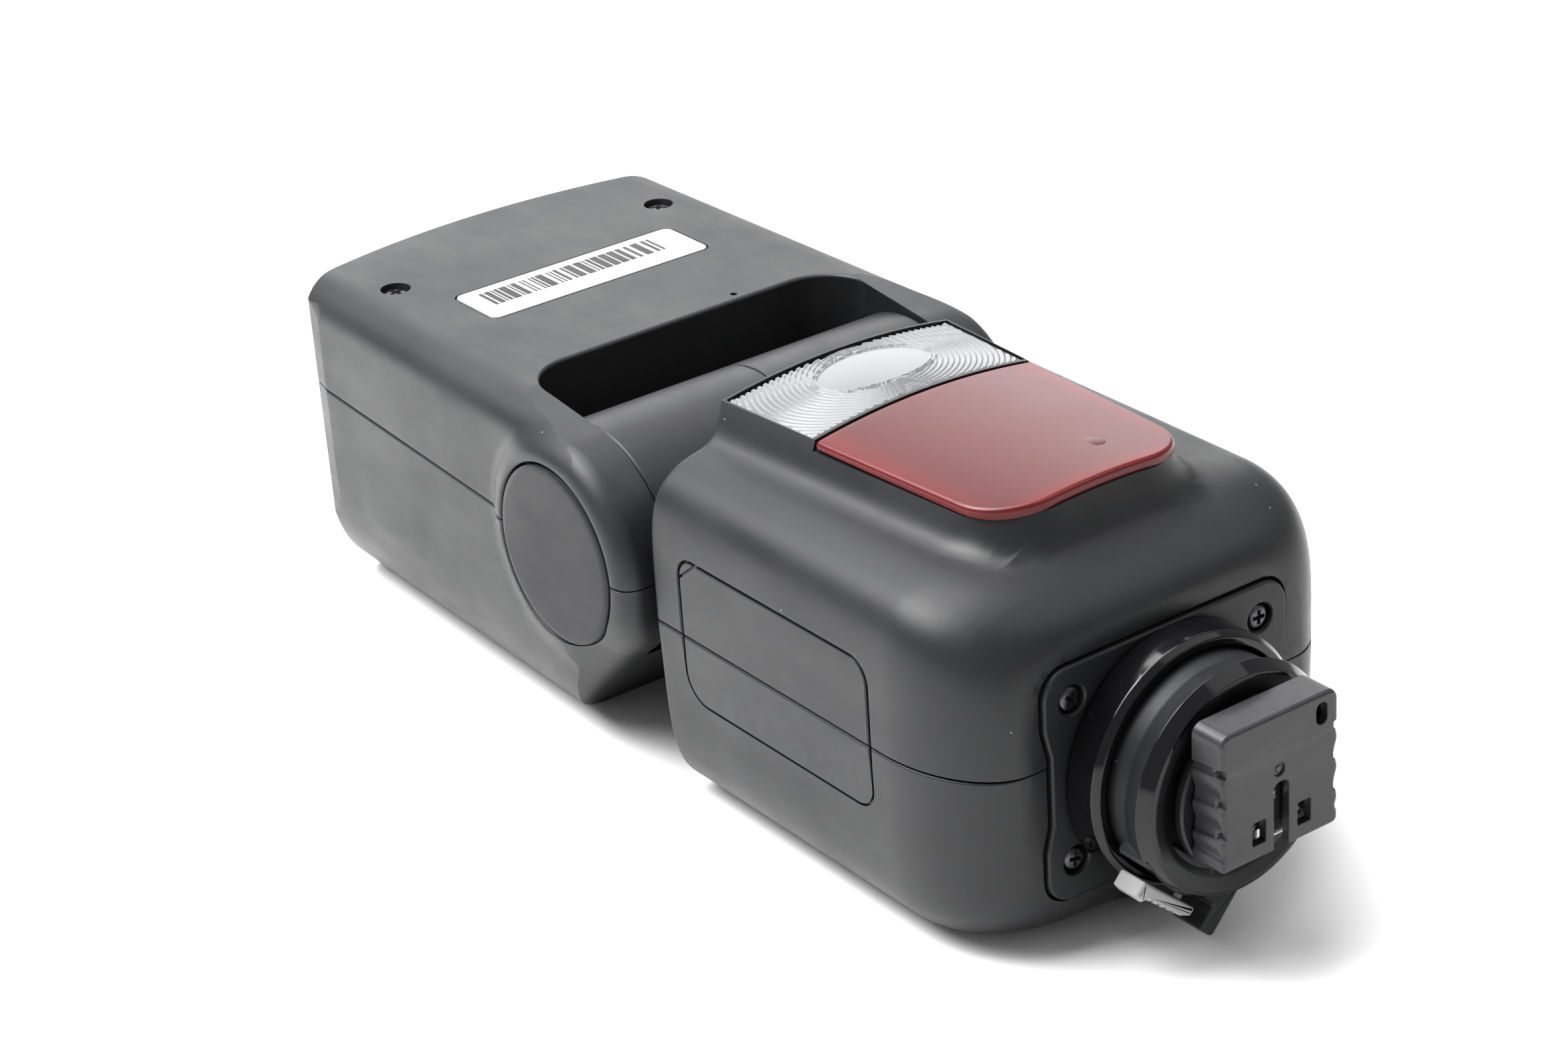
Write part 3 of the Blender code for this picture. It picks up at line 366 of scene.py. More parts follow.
def revolved(profile, axis, centre, steps=96, ring=False):
    """A profile of (radius, place along the axis) turned about a line through centre."""
    across = {"X": ((0, 1, 0), (0, 0, 1), (1, 0, 0)), "Y": ((0, 0, 1), (1, 0, 0), (0, 1, 0)),
              "Z": ((1, 0, 0), (0, 1, 0), (0, 0, 1))}[axis]
    first, second, along = map(Vector, across)
    base = Vector(centre)
    base["XYZ".index(axis)] = 0.0
    turns = [2 * math.pi * i / steps for i in range(steps)]
    rows = []
    for radius, place in profile:
        here = base + along * place
        round_it = [here + (first * math.cos(a) + second * math.sin(a)) * radius for a in turns]
        rows.append([here] if radius < 1e-6 else round_it)
    return skin(rows, ring)


def block(x, y, z, radius=0.0, plane="XY", steps=3):
    """A box with all its edges rounded."""
    *across, ends = {"XY": (x, y, z), "XZ": (x, z, y), "YZ": (y, z, x)}[plane]
    if not radius:
        return extruded(rectangle(*across), plane, [(d, 0.0) for d in ends])
    return extruded(rounded(rectangle(*across), radius, steps), plane, soft(*ends, radius, steps=steps))


def rod(axis, centre, radius, ends, edge=0.0, steps=48):
    """A cylinder with rounded end edges."""
    stations = soft(ends[0], ends[1], edge) if edge else [(ends[0], 0.0), (ends[1], 0.0)]
    profile = [(0.0, ends[0]), *[(radius + grow, place) for place, grow in stations], (0.0, ends[1])]
    return revolved(profile, axis, centre, steps)


def cut(*tools):
    """Boolean steps that take these shapes away."""
    return [("cut", tool) for tool in tools]


def carved(shape, *steps):
    """A bmesh after Booleans, given as ("cut" or "add" or "keep", bmesh)."""
    things = []
    for i, item in enumerate([shape] + [tool for _, tool in steps]):
        mesh = bpy.data.meshes.new(f"work_{i}")
        bmesh.ops.triangulate(item, faces=[f for f in item.faces if len(f.verts) > 4])
        item.to_mesh(mesh)
        item.free()
        things.append(bpy.data.objects.new(f"work_{i}", mesh))
        SCENE.collection.objects.link(things[-1])
    for (kind, _), tool in zip(steps, things[1:]):
        step = things[0].modifiers.new(tool.name, "BOOLEAN")
        step.operation = {"cut": "DIFFERENCE", "add": "UNION", "keep": "INTERSECT"}[kind]
        step.object = tool
        step.solver = "MANIFOLD"
    graph = bpy.context.evaluated_depsgraph_get()
    graph.update()
    result = bpy.data.meshes.new_from_object(things[0].evaluated_get(graph))
    made = bmesh.new()
    made.from_mesh(result)
    bpy.data.meshes.remove(result)
    for thing in things:
        mesh = thing.data
        bpy.data.objects.remove(thing)
        bpy.data.meshes.remove(mesh)
    return made


def piece(name, body, shape, finish, replaces=(), sharp=32.0):
    """Turns a bmesh in millimetres into a piece of the flash that rides on a body."""
    bmesh.ops.remove_doubles(shape, verts=shape.verts, dist=MERGE)
    bmesh.ops.dissolve_degenerate(shape, edges=shape.edges, dist=SLIVER)
    mesh = bpy.data.meshes.new(name)
    shape.to_mesh(mesh)
    shape.free()
    mesh.transform(TO_FRAME)
    mesh.shade_smooth()
    mesh.set_sharp_from_angle(angle=math.radians(sharp))
    mesh.materials.clear()
    mesh.materials.append(MATERIALS[finish] if isinstance(finish, str) else finish)
    made = bpy.data.objects.new(name, mesh)
    SCENE.collection.objects.link(made)
    even = made.modifiers.new("even_normals", "WEIGHTED_NORMAL")
    even.keep_sharp = True
    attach(made, body)
    if replaces:
        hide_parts(*([replaces] if isinstance(replaces, str) else replaces))
    return made


# ---------------------------------------------------------------- body casing

BODY_END, BODY_TOP, ROUND_LENGTH = 21.5, 89.8, 17.0
SEAM, GAP, WALL = 1.0, 0.3, 2.2
END_WALL, TOP_WALL = 25.5, 87.5
PLATEAU_Z, PLATEAU_FOOT, PLATEAU_RADIUS, PLATEAU_SKIRT = 32.0, 33.0, 10.0, 6.0
PLATEAU_HALF = (16.9, 20.0)
ARCH_RADIUS = 111.0
POCKET_Z, DIVIDER_Y, LENS_TOP = 28.4, 70.4, 89.0
PANE_WALL = 1.5  # how far the red pane's side wall stands above the casing round it
AXIS_Y, AXIS_Z = 109.6, 4.9
PIVOT = (0, AXIS_Y, AXIS_Z)  # the head's tilt axis
RING_Z = -3.1
RING_CENTRE = (0, 0, RING_Z)
SCREW_NAMES = [f"bottom_screw_{i + 1}" for i in range(4)]
SCREWS = [middle(name) for name in SCREW_NAMES]
SOFT_KEYS = [f"soft_key_{i + 1}" for i in range(4)]
ROUND_BUTTONS = ("mode_button", "lamp_button", "test_button", "wireless_button")

def smoothstep(value):
    value = min(max(value, 0.0), 1.0)
    return value * value * (3 - 2 * value)


def arch(x):
    """The raised front's height at x."""
    return PLATEAU_Z - x * x / (2 * ARCH_RADIUS)


def mirrored(half):
    """A closed outline from its right half, which runs from the middle plane round to it again."""
    return half + [(-p[0], *p[1:]) for p in reversed(half) if abs(p[0]) > 1e-9]


def casing_size(y, inset):
    """Half width, height in front of the seam, depth behind it and corner power of the casing at y."""
    run = min(max((y - BODY_END) / ROUND_LENGTH, 0.0), 1.0)
    share = math.sqrt(1.0 - (1.0 - run) ** 2)
    sizes = [start + gain * share - inset for start, gain in ((23.0, 10.8), (15.6, 8.4), (22.4, 7.0))]
    return (*sizes, 3.8 + 2.2 * share)


def plateau_half(y):
    along = (y - PLATEAU_FOOT - PLATEAU_RADIUS) / (BODY_TOP - PLATEAU_FOOT - PLATEAU_RADIUS)
    return PLATEAU_HALF[0] + (PLATEAU_HALF[1] - PLATEAU_HALF[0]) * max(along, 0.0)


def plateau_share(x, y):
    """How much of the raised front's height stands at (x, y): 1 on it, 0 past its skirt."""
    beside = max(abs(x) - plateau_half(y) + PLATEAU_RADIUS, 0.0)
    before = max(PLATEAU_FOOT + PLATEAU_RADIUS - y, 0.0)
    outside = math.hypot(beside, before) - PLATEAU_RADIUS
    return (1.0 - min(max(outside / PLATEAU_SKIRT, 0.0), 1.0)) ** 3.5


LIP_TURNS = (0.0, 0.35, 0.7, 1.1, 1.5708)
SKIRT_RUN = (0.06, 0.14, 0.25, 0.4, 0.6, 0.85, 1.2, 1.6, 2.1, 2.7, 3.4, 4.2, 5.0, 6.0)


def front_section(y, inset=0.0, seam=SEAM, raised=True):
    """Right half of the front cover's section, its points placed along the raised front's edge."""
    width, front, _, power = casing_size(y, inset)
    before = min(max(PLATEAU_FOOT + PLATEAU_RADIUS - y, 0.0), PLATEAU_RADIUS)
    edge = plateau_half(y) - PLATEAU_RADIUS + math.sqrt(PLATEAU_RADIUS**2 - before**2)
    across = [edge * i / 14 for i in range(15)] + [edge + d for d in SKIRT_RUN]
    start = math.asin(min(across[-1] / width, 1.0) ** (power / 2))
    turns = [start + (math.pi / 2 - start) * i / 30 for i in range(1, 30)]
    section = [(x, SEAM + front * (1.0 - (x / width) ** power) ** (1.0 / power)) for x in across]
    section += [(width * math.sin(a) ** (2 / power), SEAM + front * math.cos(a) ** (2 / power))
                for a in turns]
    lip = 0.35 if raised else 0.0
    section = [p for p in section if p[1] > seam + lip + 0.05]
    section += [section[-1]] * (len(across) + len(turns) - len(section))
    if lip:
        section += [(width - lip * (1 - math.sin(a)), seam + lip * (1 - math.cos(a)))
                    for a in LIP_TURNS[::-1]]
    else:
        section.append((width, seam))
    return [(x, y, z + (arch(x) - z) * plateau_share(x, y) if raised else z) for x, z in section]


def rear_section(y, inset=0.0, seam=SEAM, lip=0.35):
    """Right half of the rear cover's section, from the seam down to the middle of its flat back."""
    width, _, rear, power = casing_size(y, inset)
    floor = REST + inset
    top = [(width - lip * (1 - math.sin(a)), y, seam - lip * (1 - math.cos(a))) for a in LIP_TURNS]
    points = top if lip else [(width, y, seam)]
    for i in range(1, 40):
        a = math.pi / 2 * i / 40
        down, side = math.sin(a) ** (2 / power), math.cos(a) ** (2 / power)
        z = SEAM - rear * down
        if z > points[-1][2] - 0.02 and len(points) < 6:
            z = points[-1][2] - 0.02
        points.append((width * side * (1.0 - 0.03 * down), y, max(z, floor + 0.0001 * i)))
    points.append((0.0, y, floor))
    return points


def casing_rings(section):
    """Rings along the casing: the round foot end, the raised front's foot, and the soft neck rim."""
    foot = [BODY_END + ROUND_LENGTH * (1 - math.cos(math.pi / 2 * i / 26)) for i in range(27)]
    raised = [PLATEAU_FOOT - d for d in SKIRT_RUN]
    corner = [PLATEAU_FOOT + PLATEAU_RADIUS * (1 - math.cos(math.pi / 2 * i / 12)) for i in range(13)]
    run = [44.0 + 2.3 * i for i in range(18)] + [85.0 + 0.6 * i for i in range(7)]
    stations = sorted(foot + raised + corner + run)
    kept = [stations[0]]
    for y in stations[1:]:
        if y - kept[-1] > 0.12:
            kept.append(y)
    rim = [(BODY_TOP - 0.8 * (1 - math.sin(a)), 0.8 * (1 - math.cos(a)))
           for a in (0.0, 0.3, 0.6, 0.9, 1.25, 1.5708)]
    return [section(y, 0.0) for y in kept if y < BODY_TOP - 1.0] + [section(y, inset) for y, inset in rim]


def lens_outline(grow=0.0):
    half, low = PLATEAU_HALF[1] - 0.7 + grow, PLATEAU_HALF[1] - 1.6 + grow
    foot, top = DIVIDER_Y + 0.6 - grow, LENS_TOP + grow
    return [(-low, foot), (low, foot), (half, top), (-half, top)]


def red_outline(grow=0.0, proud=0.0):
    top, foot = PLATEAU_HALF[1] - 1.7 + grow + proud, PLATEAU_HALF[0] - 0.7 + grow + proud
    near, far = PLATEAU_FOOT + 0.8 - grow - proud, DIVIDER_Y - 0.6 + grow
    corners = [(-foot, near), (foot, near), (top, far), (-top, far)]
    return rounded(corners, [PLATEAU_RADIUS - 1.0, PLATEAU_RADIUS - 1.0, 0.6, 0.6], 14)


def plate_outline(grow=0.0):
    wide, high, low, waist = 21.0 + grow, 14.7 + grow, -19.7 - grow, 20.0 + grow
    right = [(wide, high), (wide, 6.5), (waist, 2.5), (waist, -7.5), (wide, -11.5), (wide, low)]
    corners = right + [(-x, z) for x, z in reversed(right)]
    return rounded(corners[::-1], [4.0, 3.0, 3.0, 3.0, 3.0, 4.0] * 2, 8)


def panel_outline(chamfer=True):
    y, z = (41.2, 83.3), (-9.0, 13.3)
    if not chamfer:
        return rounded(rectangle(y, z), [3.5, 4.5, 3.0, 3.5], 10)
    corners = [(y[0], z[0]), (y[1], z[0]), (y[1], z[1] - 3.2), (y[1] - 4.2, z[1]), (y[0], z[1])]
    return rounded(corners, [3.5, 4.5, 1.2, 1.2, 3.5], 8)


def groove(outline, plane, surface, depth, half, outward=-1.0):
    """A ring-shaped cutter that sinks a narrow groove with softened lips along an outline."""
    lip = half * 0.8
    edge = [(surface + outward * 0.5, half + lip + 0.3), (surface, half + lip),
            (surface - outward * lip * 0.3, half + lip * 0.3), (surface - outward * lip, half),
            (surface - outward * depth, half)]
    profile = edge + [(d, -g) for d, g in reversed(edge)]
    rings = [[in_plane(plane, a, b, d) for a, b in offset(outline, g)] for d, g in profile]
    return skin(rings, cyclic=True)


def casing():
    """Both covers of the body, with the same openings as in the CAD and softened edges."""
    def shared():
        hollow = skin([mirrored(front_section(y, WALL, SEAM, False) + rear_section(y, WALL, SEAM, 0.0)[1:])
                       for y in (END_WALL, 27.0, 28.5, 30.0, 32.0, 35.0, 38.5, TOP_WALL)])
        cuts = [hollow, rod("Y", (0, 0, AXIS_Z), 12.0, (86.0, 92.0), steps=64),
                extruded(plate_outline(GAP), "XZ", flared(BODY_END, 23.4, 0.25, -1.0)),
                extruded(rounded(rectangle((-11, 11), (-14, 8)), 3), "XZ", [(22.0, 0), (27.0, 0)]),
                groove(panel_outline(False), "YZ", -33.72, 0.75, 0.2)]
        cuts += [rod("Y", (s.x, 0, s.z), 1.2, (22.0, 25.8), steps=16) for s in SCREWS]
        cuts.append(extruded(panel_outline(), "YZ", [(28.0, 0), (33.35, 0), (33.6, 0.08), (33.8, 0.3),
                                                     (34.6, 0.9)]))
        return cut(*cuts)

    front = skin(casing_rings(lambda y, inset: mirrored(front_section(y, inset, SEAM + 0.1))))
    wells = [extruded(outline(GAP), "XY", [(POCKET_Z - GAP, 0), (40.0, 0)])
             for outline in (lens_outline, red_outline)]
    corner = [(79.3, 13.35), (79.6, 13.1), (83.3, 10.2), (83.1, 9.9), (79.1, 12.9), (78.9, 13.2)]
    wells += [to_arch(resampled(red_outline(GAP, 2.5), 1.0), 40, PANE_WALL, 6.0),
              rod("Z", (0, 78.3, 0), 6.6, (15.0, 30.0)), block((-12, 12), (39, 64), (15, 30)),
              extruded(corner, "YZ", [(-36.0, 0), (-33.25, 0)])]
    front = carved(front, *shared(), *cut(*wells))
    piece("body_front", "body", front, "body", "front_cover")

    rear = skin(casing_rings(lambda y, inset: mirrored(rear_section(y, inset, SEAM - 0.1)[::-1])))
    holes = [rounded(seen("screen_window", grow=0.4), 1.2)]
    holes += [rounded(seen(name, grow=GAP), 0.9) for name in SOFT_KEYS]
    cuts = [extruded(hole, "XY", flared(REST, -25.0, 0.3, -1.0)) for hole in holes]
    cuts += [extruded(circle(middle(name), 2.9), "XY", flared(REST, -24.0, 0.3, -1.0))
             for name in ROUND_BUTTONS]
    cuts.append(extruded(circle(middle("select_dial"), 8.8, 96), "XY", flared(REST, -24.0, 0.4, -1.0)))
    cuts.append(extruded(rounded(rectangle((-5.3, 5.3), (27.0, 29.6)), 0.5), "XY", [(-29, 0), (-22, 0)]))
    cuts.append(block((28, 36), (56, 80), (-21.6, -13.0)))
    rear = carved(rear, *shared(), *cut(*cuts))
    piece("body_rear", "body", rear, "body", "rear_cover")


# ---------------------------------------------------------------- windows on the raised front


def resampled(outline, longest):
    """The outline with points added, so that no stretch between two of them is over the longest."""
    points = []
    for first, second in zip(outline, outline[1:] + outline[:1]):
        count = max(1, math.ceil(math.dist(first, second) / longest))
        points += [tuple(Vector(first).lerp(Vector(second), k / count)) for k in range(count)]
    return points


def pad(outline, low, top, edge, steps=5, rings=12):
    """A solid on a flat outline whose upper face follows top(x, y), with a rounded upper edge."""
    centre = centroid(outline)
    rows = [[(*centre, low)], [(a, b, low) for a, b in outline]]
    for fall, draw in quarter(steps):
        rows.append([(a, b, top(a, b) - edge * fall) for a, b in offset(outline, -edge * draw)])
    rim = rows[-1]
    for i in range(1, rings):
        rows.append([(a, b, top(a, b)) for a, b in shrunk(rim, centre, 1 - i / rings)])
    rows.append([(*centre, top(*centre))])
    return skin(rows)


def to_arch(outline, level, drop, draw):
    """A solid from a level to the arch less a drop, true near the outline and plain in the middle."""
    inner = offset(outline, -draw)
    centre = (0, 52)
    edges = [[(a, b, arch(a) - drop) for a, b in ring] for ring in (outline, inner)]
    return skin([[(*centre, level)], [(a, b, level) for a, b in outline], *edges,
                 [(*centre, arch(0) - drop)]])


def plate(nx, ny, place, under):
    """A closed sheet on an nx by ny grid between place(i, j) above and under(i, j) below."""
    shape = bmesh.new()
    above, below = [[[shape.verts.new(at(i / nx, j / ny)) for j in range(ny + 1)] for i in range(nx + 1)]
                    for at in (place, under)]
    for i in range(nx):
        for j in range(ny):
            for face, turn in ((above, 1), (below, -1)):
                ring = (face[i][j], face[i + 1][j], face[i + 1][j + 1], face[i][j + 1])
                shape.faces.new(ring[::turn])
    rims = [[(i, 0) for i in range(nx + 1)], [(nx, j) for j in range(ny + 1)],
            [(i, ny) for i in range(nx, -1, -1)], [(0, j) for j in range(ny, -1, -1)]]
    for rim in rims:
        for (i, j), (k, m) in zip(rim, rim[1:]):
            shape.faces.new((above[i][j], below[i][j], below[k][m], above[k][m]))
    bmesh.ops.recalc_face_normals(shape, faces=shape.faces)
    return shape


LAMP_Y = 81.2
OVAL = (9.0, 5.2)
OVAL_RIM, RIM_RING, RING_PITCH, RING_HEIGHT, TOOTH = 1.14, 0.07, 0.85, 0.2, 0.55


def ridge(x, y):
    """Height, 0 to 1, of the fine rings at a place on the window."""
    outward = math.hypot(x, (y - LAMP_Y) * 1.25) / RING_PITCH
    return 0.5 + 0.5 * math.cos(2 * math.pi * outward)


def lens_top(x, y):
    """The modelling light's window: fine rings round a smooth oval with a double rim."""
    away = math.hypot(x / OVAL[0], (y - LAMP_Y) / OVAL[1])
    z = arch(x) - 0.25
    if away < 1.0:
        return z + RING_HEIGHT * (1 - away * away)
    if away < OVAL_RIM:
        return z + RING_HEIGHT * math.sin(math.pi * (away - 1.0) / RIM_RING) ** 2
    return z + RING_HEIGHT * (ridge(x, y) - 0.5)


def red_material():
    """Tinted window: satin dark red, painted brighter and mottled at its sides, near end and side walls, a
    painted glow that stands in for light coming through its edges.
    """
    g = Graph("dark_red_window")
    x, y = g.axis("X"), g.axis("Y")
    blotch = g.noise(330.0, 4.0, 0.7)
    side = g.span(g.maths("ABSOLUTE", x), 0.0140, 0.0178)
    foot = g.span(y, 36.5 * MM + DATUM.y, 34.0 * MM + DATUM.y)
    upward = g.axis("Z", g.node("ShaderNodeNewGeometry").outputs["True Normal"])
    # painted glow: this mask paints the red brighter at the pane's sides, its near end and its steep side
    # walls, in place of light coming through them
    rim = g.maths("MAXIMUM", g.maths("MULTIPLY", g.maths("MAXIMUM", side, foot), 0.75),
                  g.span(upward, 0.75, 0.3))
    rim = g.maths("MULTIPLY", rim, g.span(blotch, 0.3, 0.62, 0.45, 1.0))
    slow = g.noise(60.0, 2.0)
    deep = g.mix(slow, (0.062, 0.0045, 0.006), (0.080, 0.006, 0.008))
    # mixes in the brighter red of the painted glow
    body = g.mix(rim, deep, (0.125, 0.005, 0.006))
    g.set(Base_Color=body, Roughness=g.span(slow, 0.1, 0.9, 0.26, 0.34), IOR=1.5, Specular_IOR_Level=0.42,
          Normal=g.bump(g.noise(3000.0, 2.0), 0.003 * MM, 0.6))
    return g.made


def windows():
    """The clear and the red window, and the light sensor; the black divider between the windows is part of
    the front cover.
    """
    red = pad(resampled(red_outline(), 1.0), POCKET_Z, lambda x, y: arch(x) - 0.3, 0.3)
    cover = pad(resampled(red_outline(0.0, 0.75), 1.0), 29.4, lambda x, y: arch(x), 0.6)
    under = to_arch(resampled(red_outline(1.0, 4.0), 1.0), 20, PANE_WALL - 0.05, 8.0)
    cover = carved(cover, ("cut", under), ("add", red))
    piece("red_window_pane", "body", cover, red_material(), "red_window")
    half, low = PLATEAU_HALF[1] - 0.7, PLATEAU_HALF[1] - 1.6
    foot, end = DIVIDER_Y + 0.6, LENS_TOP - 0.05

    def spot(i, j):
        x = (2 * i - 1) * (low + (half - low) * j)
        tooth = TOOTH * ridge(x, end) if abs(x) < half - 0.8 else 0.0
        return x, foot + (end - tooth - foot) * j

    def above(i, j):
        x, y = spot(i, j)
        inside = min(min(i, 1 - i) * 2 * half, j * (end - foot)) > 0.25
        return x, y, lens_top(x, y) if inside else arch(x) - 0.35

    def below(i, j):
        x, y = spot(i, j)
        return x, y, POCKET_Z + 0.05

    g = Graph("ribbed_clear_acrylic")
    flow = g.noise(120.0, 3.0, 0.6)
    g.set(Base_Color=g.mix(flow, (0.20, 0.204, 0.208), (0.25, 0.254, 0.258)), Transmission_Weight=0.3,
          IOR=ACRYLIC_IOR, Roughness=g.span(flow, 0.3, 0.7, 0.18, 0.26))
    piece("modelling_window", "body", plate(260, 110, above, below), g.made, "modelling_lens", sharp=50.0)
    sensor = revolved([(0, 0.04), (1.5, 0.04), (1.6, 0.0), (1.6, -0.3), (0, -0.3)], "Z", (6.0, 41.7, 0), 40)
    bmesh.ops.translate(sensor, verts=sensor.verts, vec=(0, 0, arch(6.0)))
    piece("light_sensor", "body", sensor, "sensor")


# ---------------------------------------------------------------- foot end


def screw(node, body):
    """A pan head with a cross recess, in the place of the CAD screw."""
    low, high = limits(node)
    upright = (high.z - low.z) > (high.y - low.y)
    axis, side = ("Z", 1.0) if upright else ("Y", -1.0)
    face, end = (high.z, low.z) if upright else (low.y, high.y)
    radius = (high.x - low.x) / 2
    profile = [(0, face), (0.45 * radius, face - side * 0.03), (0.72 * radius, face - side * 0.12),
               (0.9 * radius, face - side * 0.27), (radius, face - side * 0.5), (radius, face - side * 0.8),
               (0.5 * radius, face - side * 0.85), (0.5 * radius, end), (0, end)]
    centre = middle(node)
    shape = revolved(profile, axis, centre, 40)
    arms = []
    for wide, deep in ((0.62, 0.17), (0.17, 0.62)):
        outline = rectangle((-wide * radius, wide * radius), (-deep * radius, deep * radius))
        turn = math.radians(28 + 37 * (centre.x + centre.z))
        second = centre.y if upright else centre.z
        outline = [(centre.x + a * math.cos(turn) - b * math.sin(turn),
                    second + a * math.sin(turn) + b * math.cos(turn)) for a, b in outline]
        stations = [(face + side * 0.3, 0.06), (face, 0.02), (face - side * 0.6, -0.12 * radius)]
        arms.append(("cut", extruded(outline, "XY" if upright else "XZ", stations)))
    piece(node + "_head", body, carved(shape, *arms), "screw", node, sharp=28.0)


def bottom_plate():
    """The foot end's plate with its screws, the gloss bezel and the stem under the shoe foot."""
    low, high = limits("bottom_plate")
    shape = extruded(plate_outline(), "XZ", soft(low.y, high.y, 0.4, 0.0, 5))
    cuts = [rod("Y", RING_CENTRE, 9.5, (19, 25), steps=64)]
    for spot in SCREWS:
        cuts.append(extruded(circle((spot.x, spot.z), 2.05), "XZ", flared(low.y, low.y + 1.3, 0.45, -1.0)))
        cuts.append(rod("Y", (spot.x, 0, spot.z), 1.2, (21, 25), steps=20))
    piece("foot_end_plate", "body", carved(shape, *cut(*cuts)), "fine", "bottom_plate")
    for name in SCREW_NAMES:
        screw(name, "body")
    profile = rounded([(16.2, 15.0), (17.2, 15.0), (17.9, 15.9), (17.9, 20.6), (15.9, 20.6), (15.9, 15.4)],
                      [0.3, 0.5, 0.6, 0.1, 0.1, 0.2], 6)
    piece("gloss_bezel", "body", revolved(profile, "Y", RING_CENTRE, 160, True), "gloss", "bezel_ring")
    stem = rounded([(0, 5.9), (11.2, 5.9), (11.5, 6.2), (11.5, 7.3), (9.2, 7.7), (9.2, 22.9), (0, 22.9)],
                   [0, 0.25, 0.2, 0.3, 0.4, 0, 0], 4, False)
    piece("stem", "body", revolved(stem, "Y", RING_CENTRE, 120), "fine", "foot_stem")


ARM_OUT, ARM_ALONG = Vector((-0.667, -0.745)), Vector((0.745, -0.667))


def on_arm(points):
    """Points given along the tab and out from the lock ring, in X and Z."""
    return [tuple(Vector((0.0, RING_Z)) + ARM_ALONG * along + ARM_OUT * out) for along, out in points]


def lock_ring():
    """The lock ring with its arm, pocket and light grey release tab."""
    corners = [(11.9, 8.4), (13.2, 7.5), (14.9, 6.85), (15.6, 7.0), (16.65, 8.9), (16.2, 10.2), (15.6, 12.0),
               (15.5, 17.8), (9.7, 17.8), (9.7, 9.4), (11.9, 9.0)]
    profile = rounded(corners, [0.15, 1.2, 0.6, 0.15, 0.2, 0.8, 2.0, 0.2, 0, 0, 0.1], 6)
    ring = revolved(profile, "Y", RING_CENTRE, 192, True)
    arm = [(-7.4, 11.0), (11.4, 11.0), (11.4, 19.3), (8.5, 19.3), (8.5, 15.4), (-7.4, 15.4)]
    body = extruded(rounded(on_arm(arm), [0.2, 0.2, 0.6, 0.4, 0.5, 0.9], 5), "XZ", soft(8.2, 13.8, 0.4))
    pockets = [extruded(on_arm(rectangle(along, out)), "XZ", [(low, 0), (high, 0)])
               for along, out, low, high in (((-0.6, 3.0), (12.9, 17.0), 9.3, 12.7),
                                             ((-5.8, 8.3), (15.6, 17.6), 8.3, 14.0),
                                             ((4.6, 7.6), (13.9, 17.0), 9.5, 15.0))]
    shape = carved(ring, ("add", body), *cut(*pockets))
    made = piece("lock_ring_shell", "lock_ring", shape, "fine", "lock_ring", sharp=28.0)
    made.data.materials.append(MATERIALS["gloss"])
    for face in made.data.polygons:
        spot = TO_FRAME.inverted() @ face.center
        away = math.hypot(spot.x, spot.z - RING_Z)
        if 15.3 < away < 16.9 and spot.y < 9.0:
            face.material_index = 1
    tab = [(-5.4, 17.0), (6.0, 17.0), (6.0, 18.2), (4.2, 18.8), (-3.2, 19.0), (-4.0, 19.6), (-5.4, 19.3)]
    shape = extruded(rounded(on_arm(tab), [0.3, 0.2, 0.3, 0.6, 0.3, 0.3, 0.3], 4), "XZ", soft(8.6, 13.4, 0.5))
    ribs = [extruded(on_arm(rectangle((-2.6 + 1.5 * i, -2.0 + 1.5 * i), (18.7, 20.0))), "XZ",
                     [(8.0, 0), (14.0, 0)]) for i in range(4)]
    piece("grey_tab", "release_tab", carved(shape, *cut(*ribs)), "grey", "release_tab")
    # a raised arrow stands in for the printed legend
    mark = [(0.0, 2.1), (1.5, 2.1), (1.5, 1.1), (3.4, 2.7), (1.5, 4.3), (1.5, 3.3), (0.0, 3.3)]
    turns = [math.radians(158.0 + (a - 1.5) * 3.7) for a, _ in mark]
    rows = [[(radius * math.cos(turn), 10.9 + b, RING_Z + radius * math.sin(turn))
             for turn, (_, b) in zip(turns, mark)] for radius in (15.46, 15.56)]
    piece("lock_arrow", "lock_ring", skin(rows), "mark")


def scallop(z):
    """How far the foot cap's long sides draw in at z."""
    if not -8.0 < z < 5.2:
        return 0.0
    fade = smoothstep((5.2 - z) / 1.2) * smoothstep((z + 8.0) / 1.2)
    return 0.5 * fade * (1 - math.cos(2 * math.pi * (z - 3.1) / 4.4)) / 2


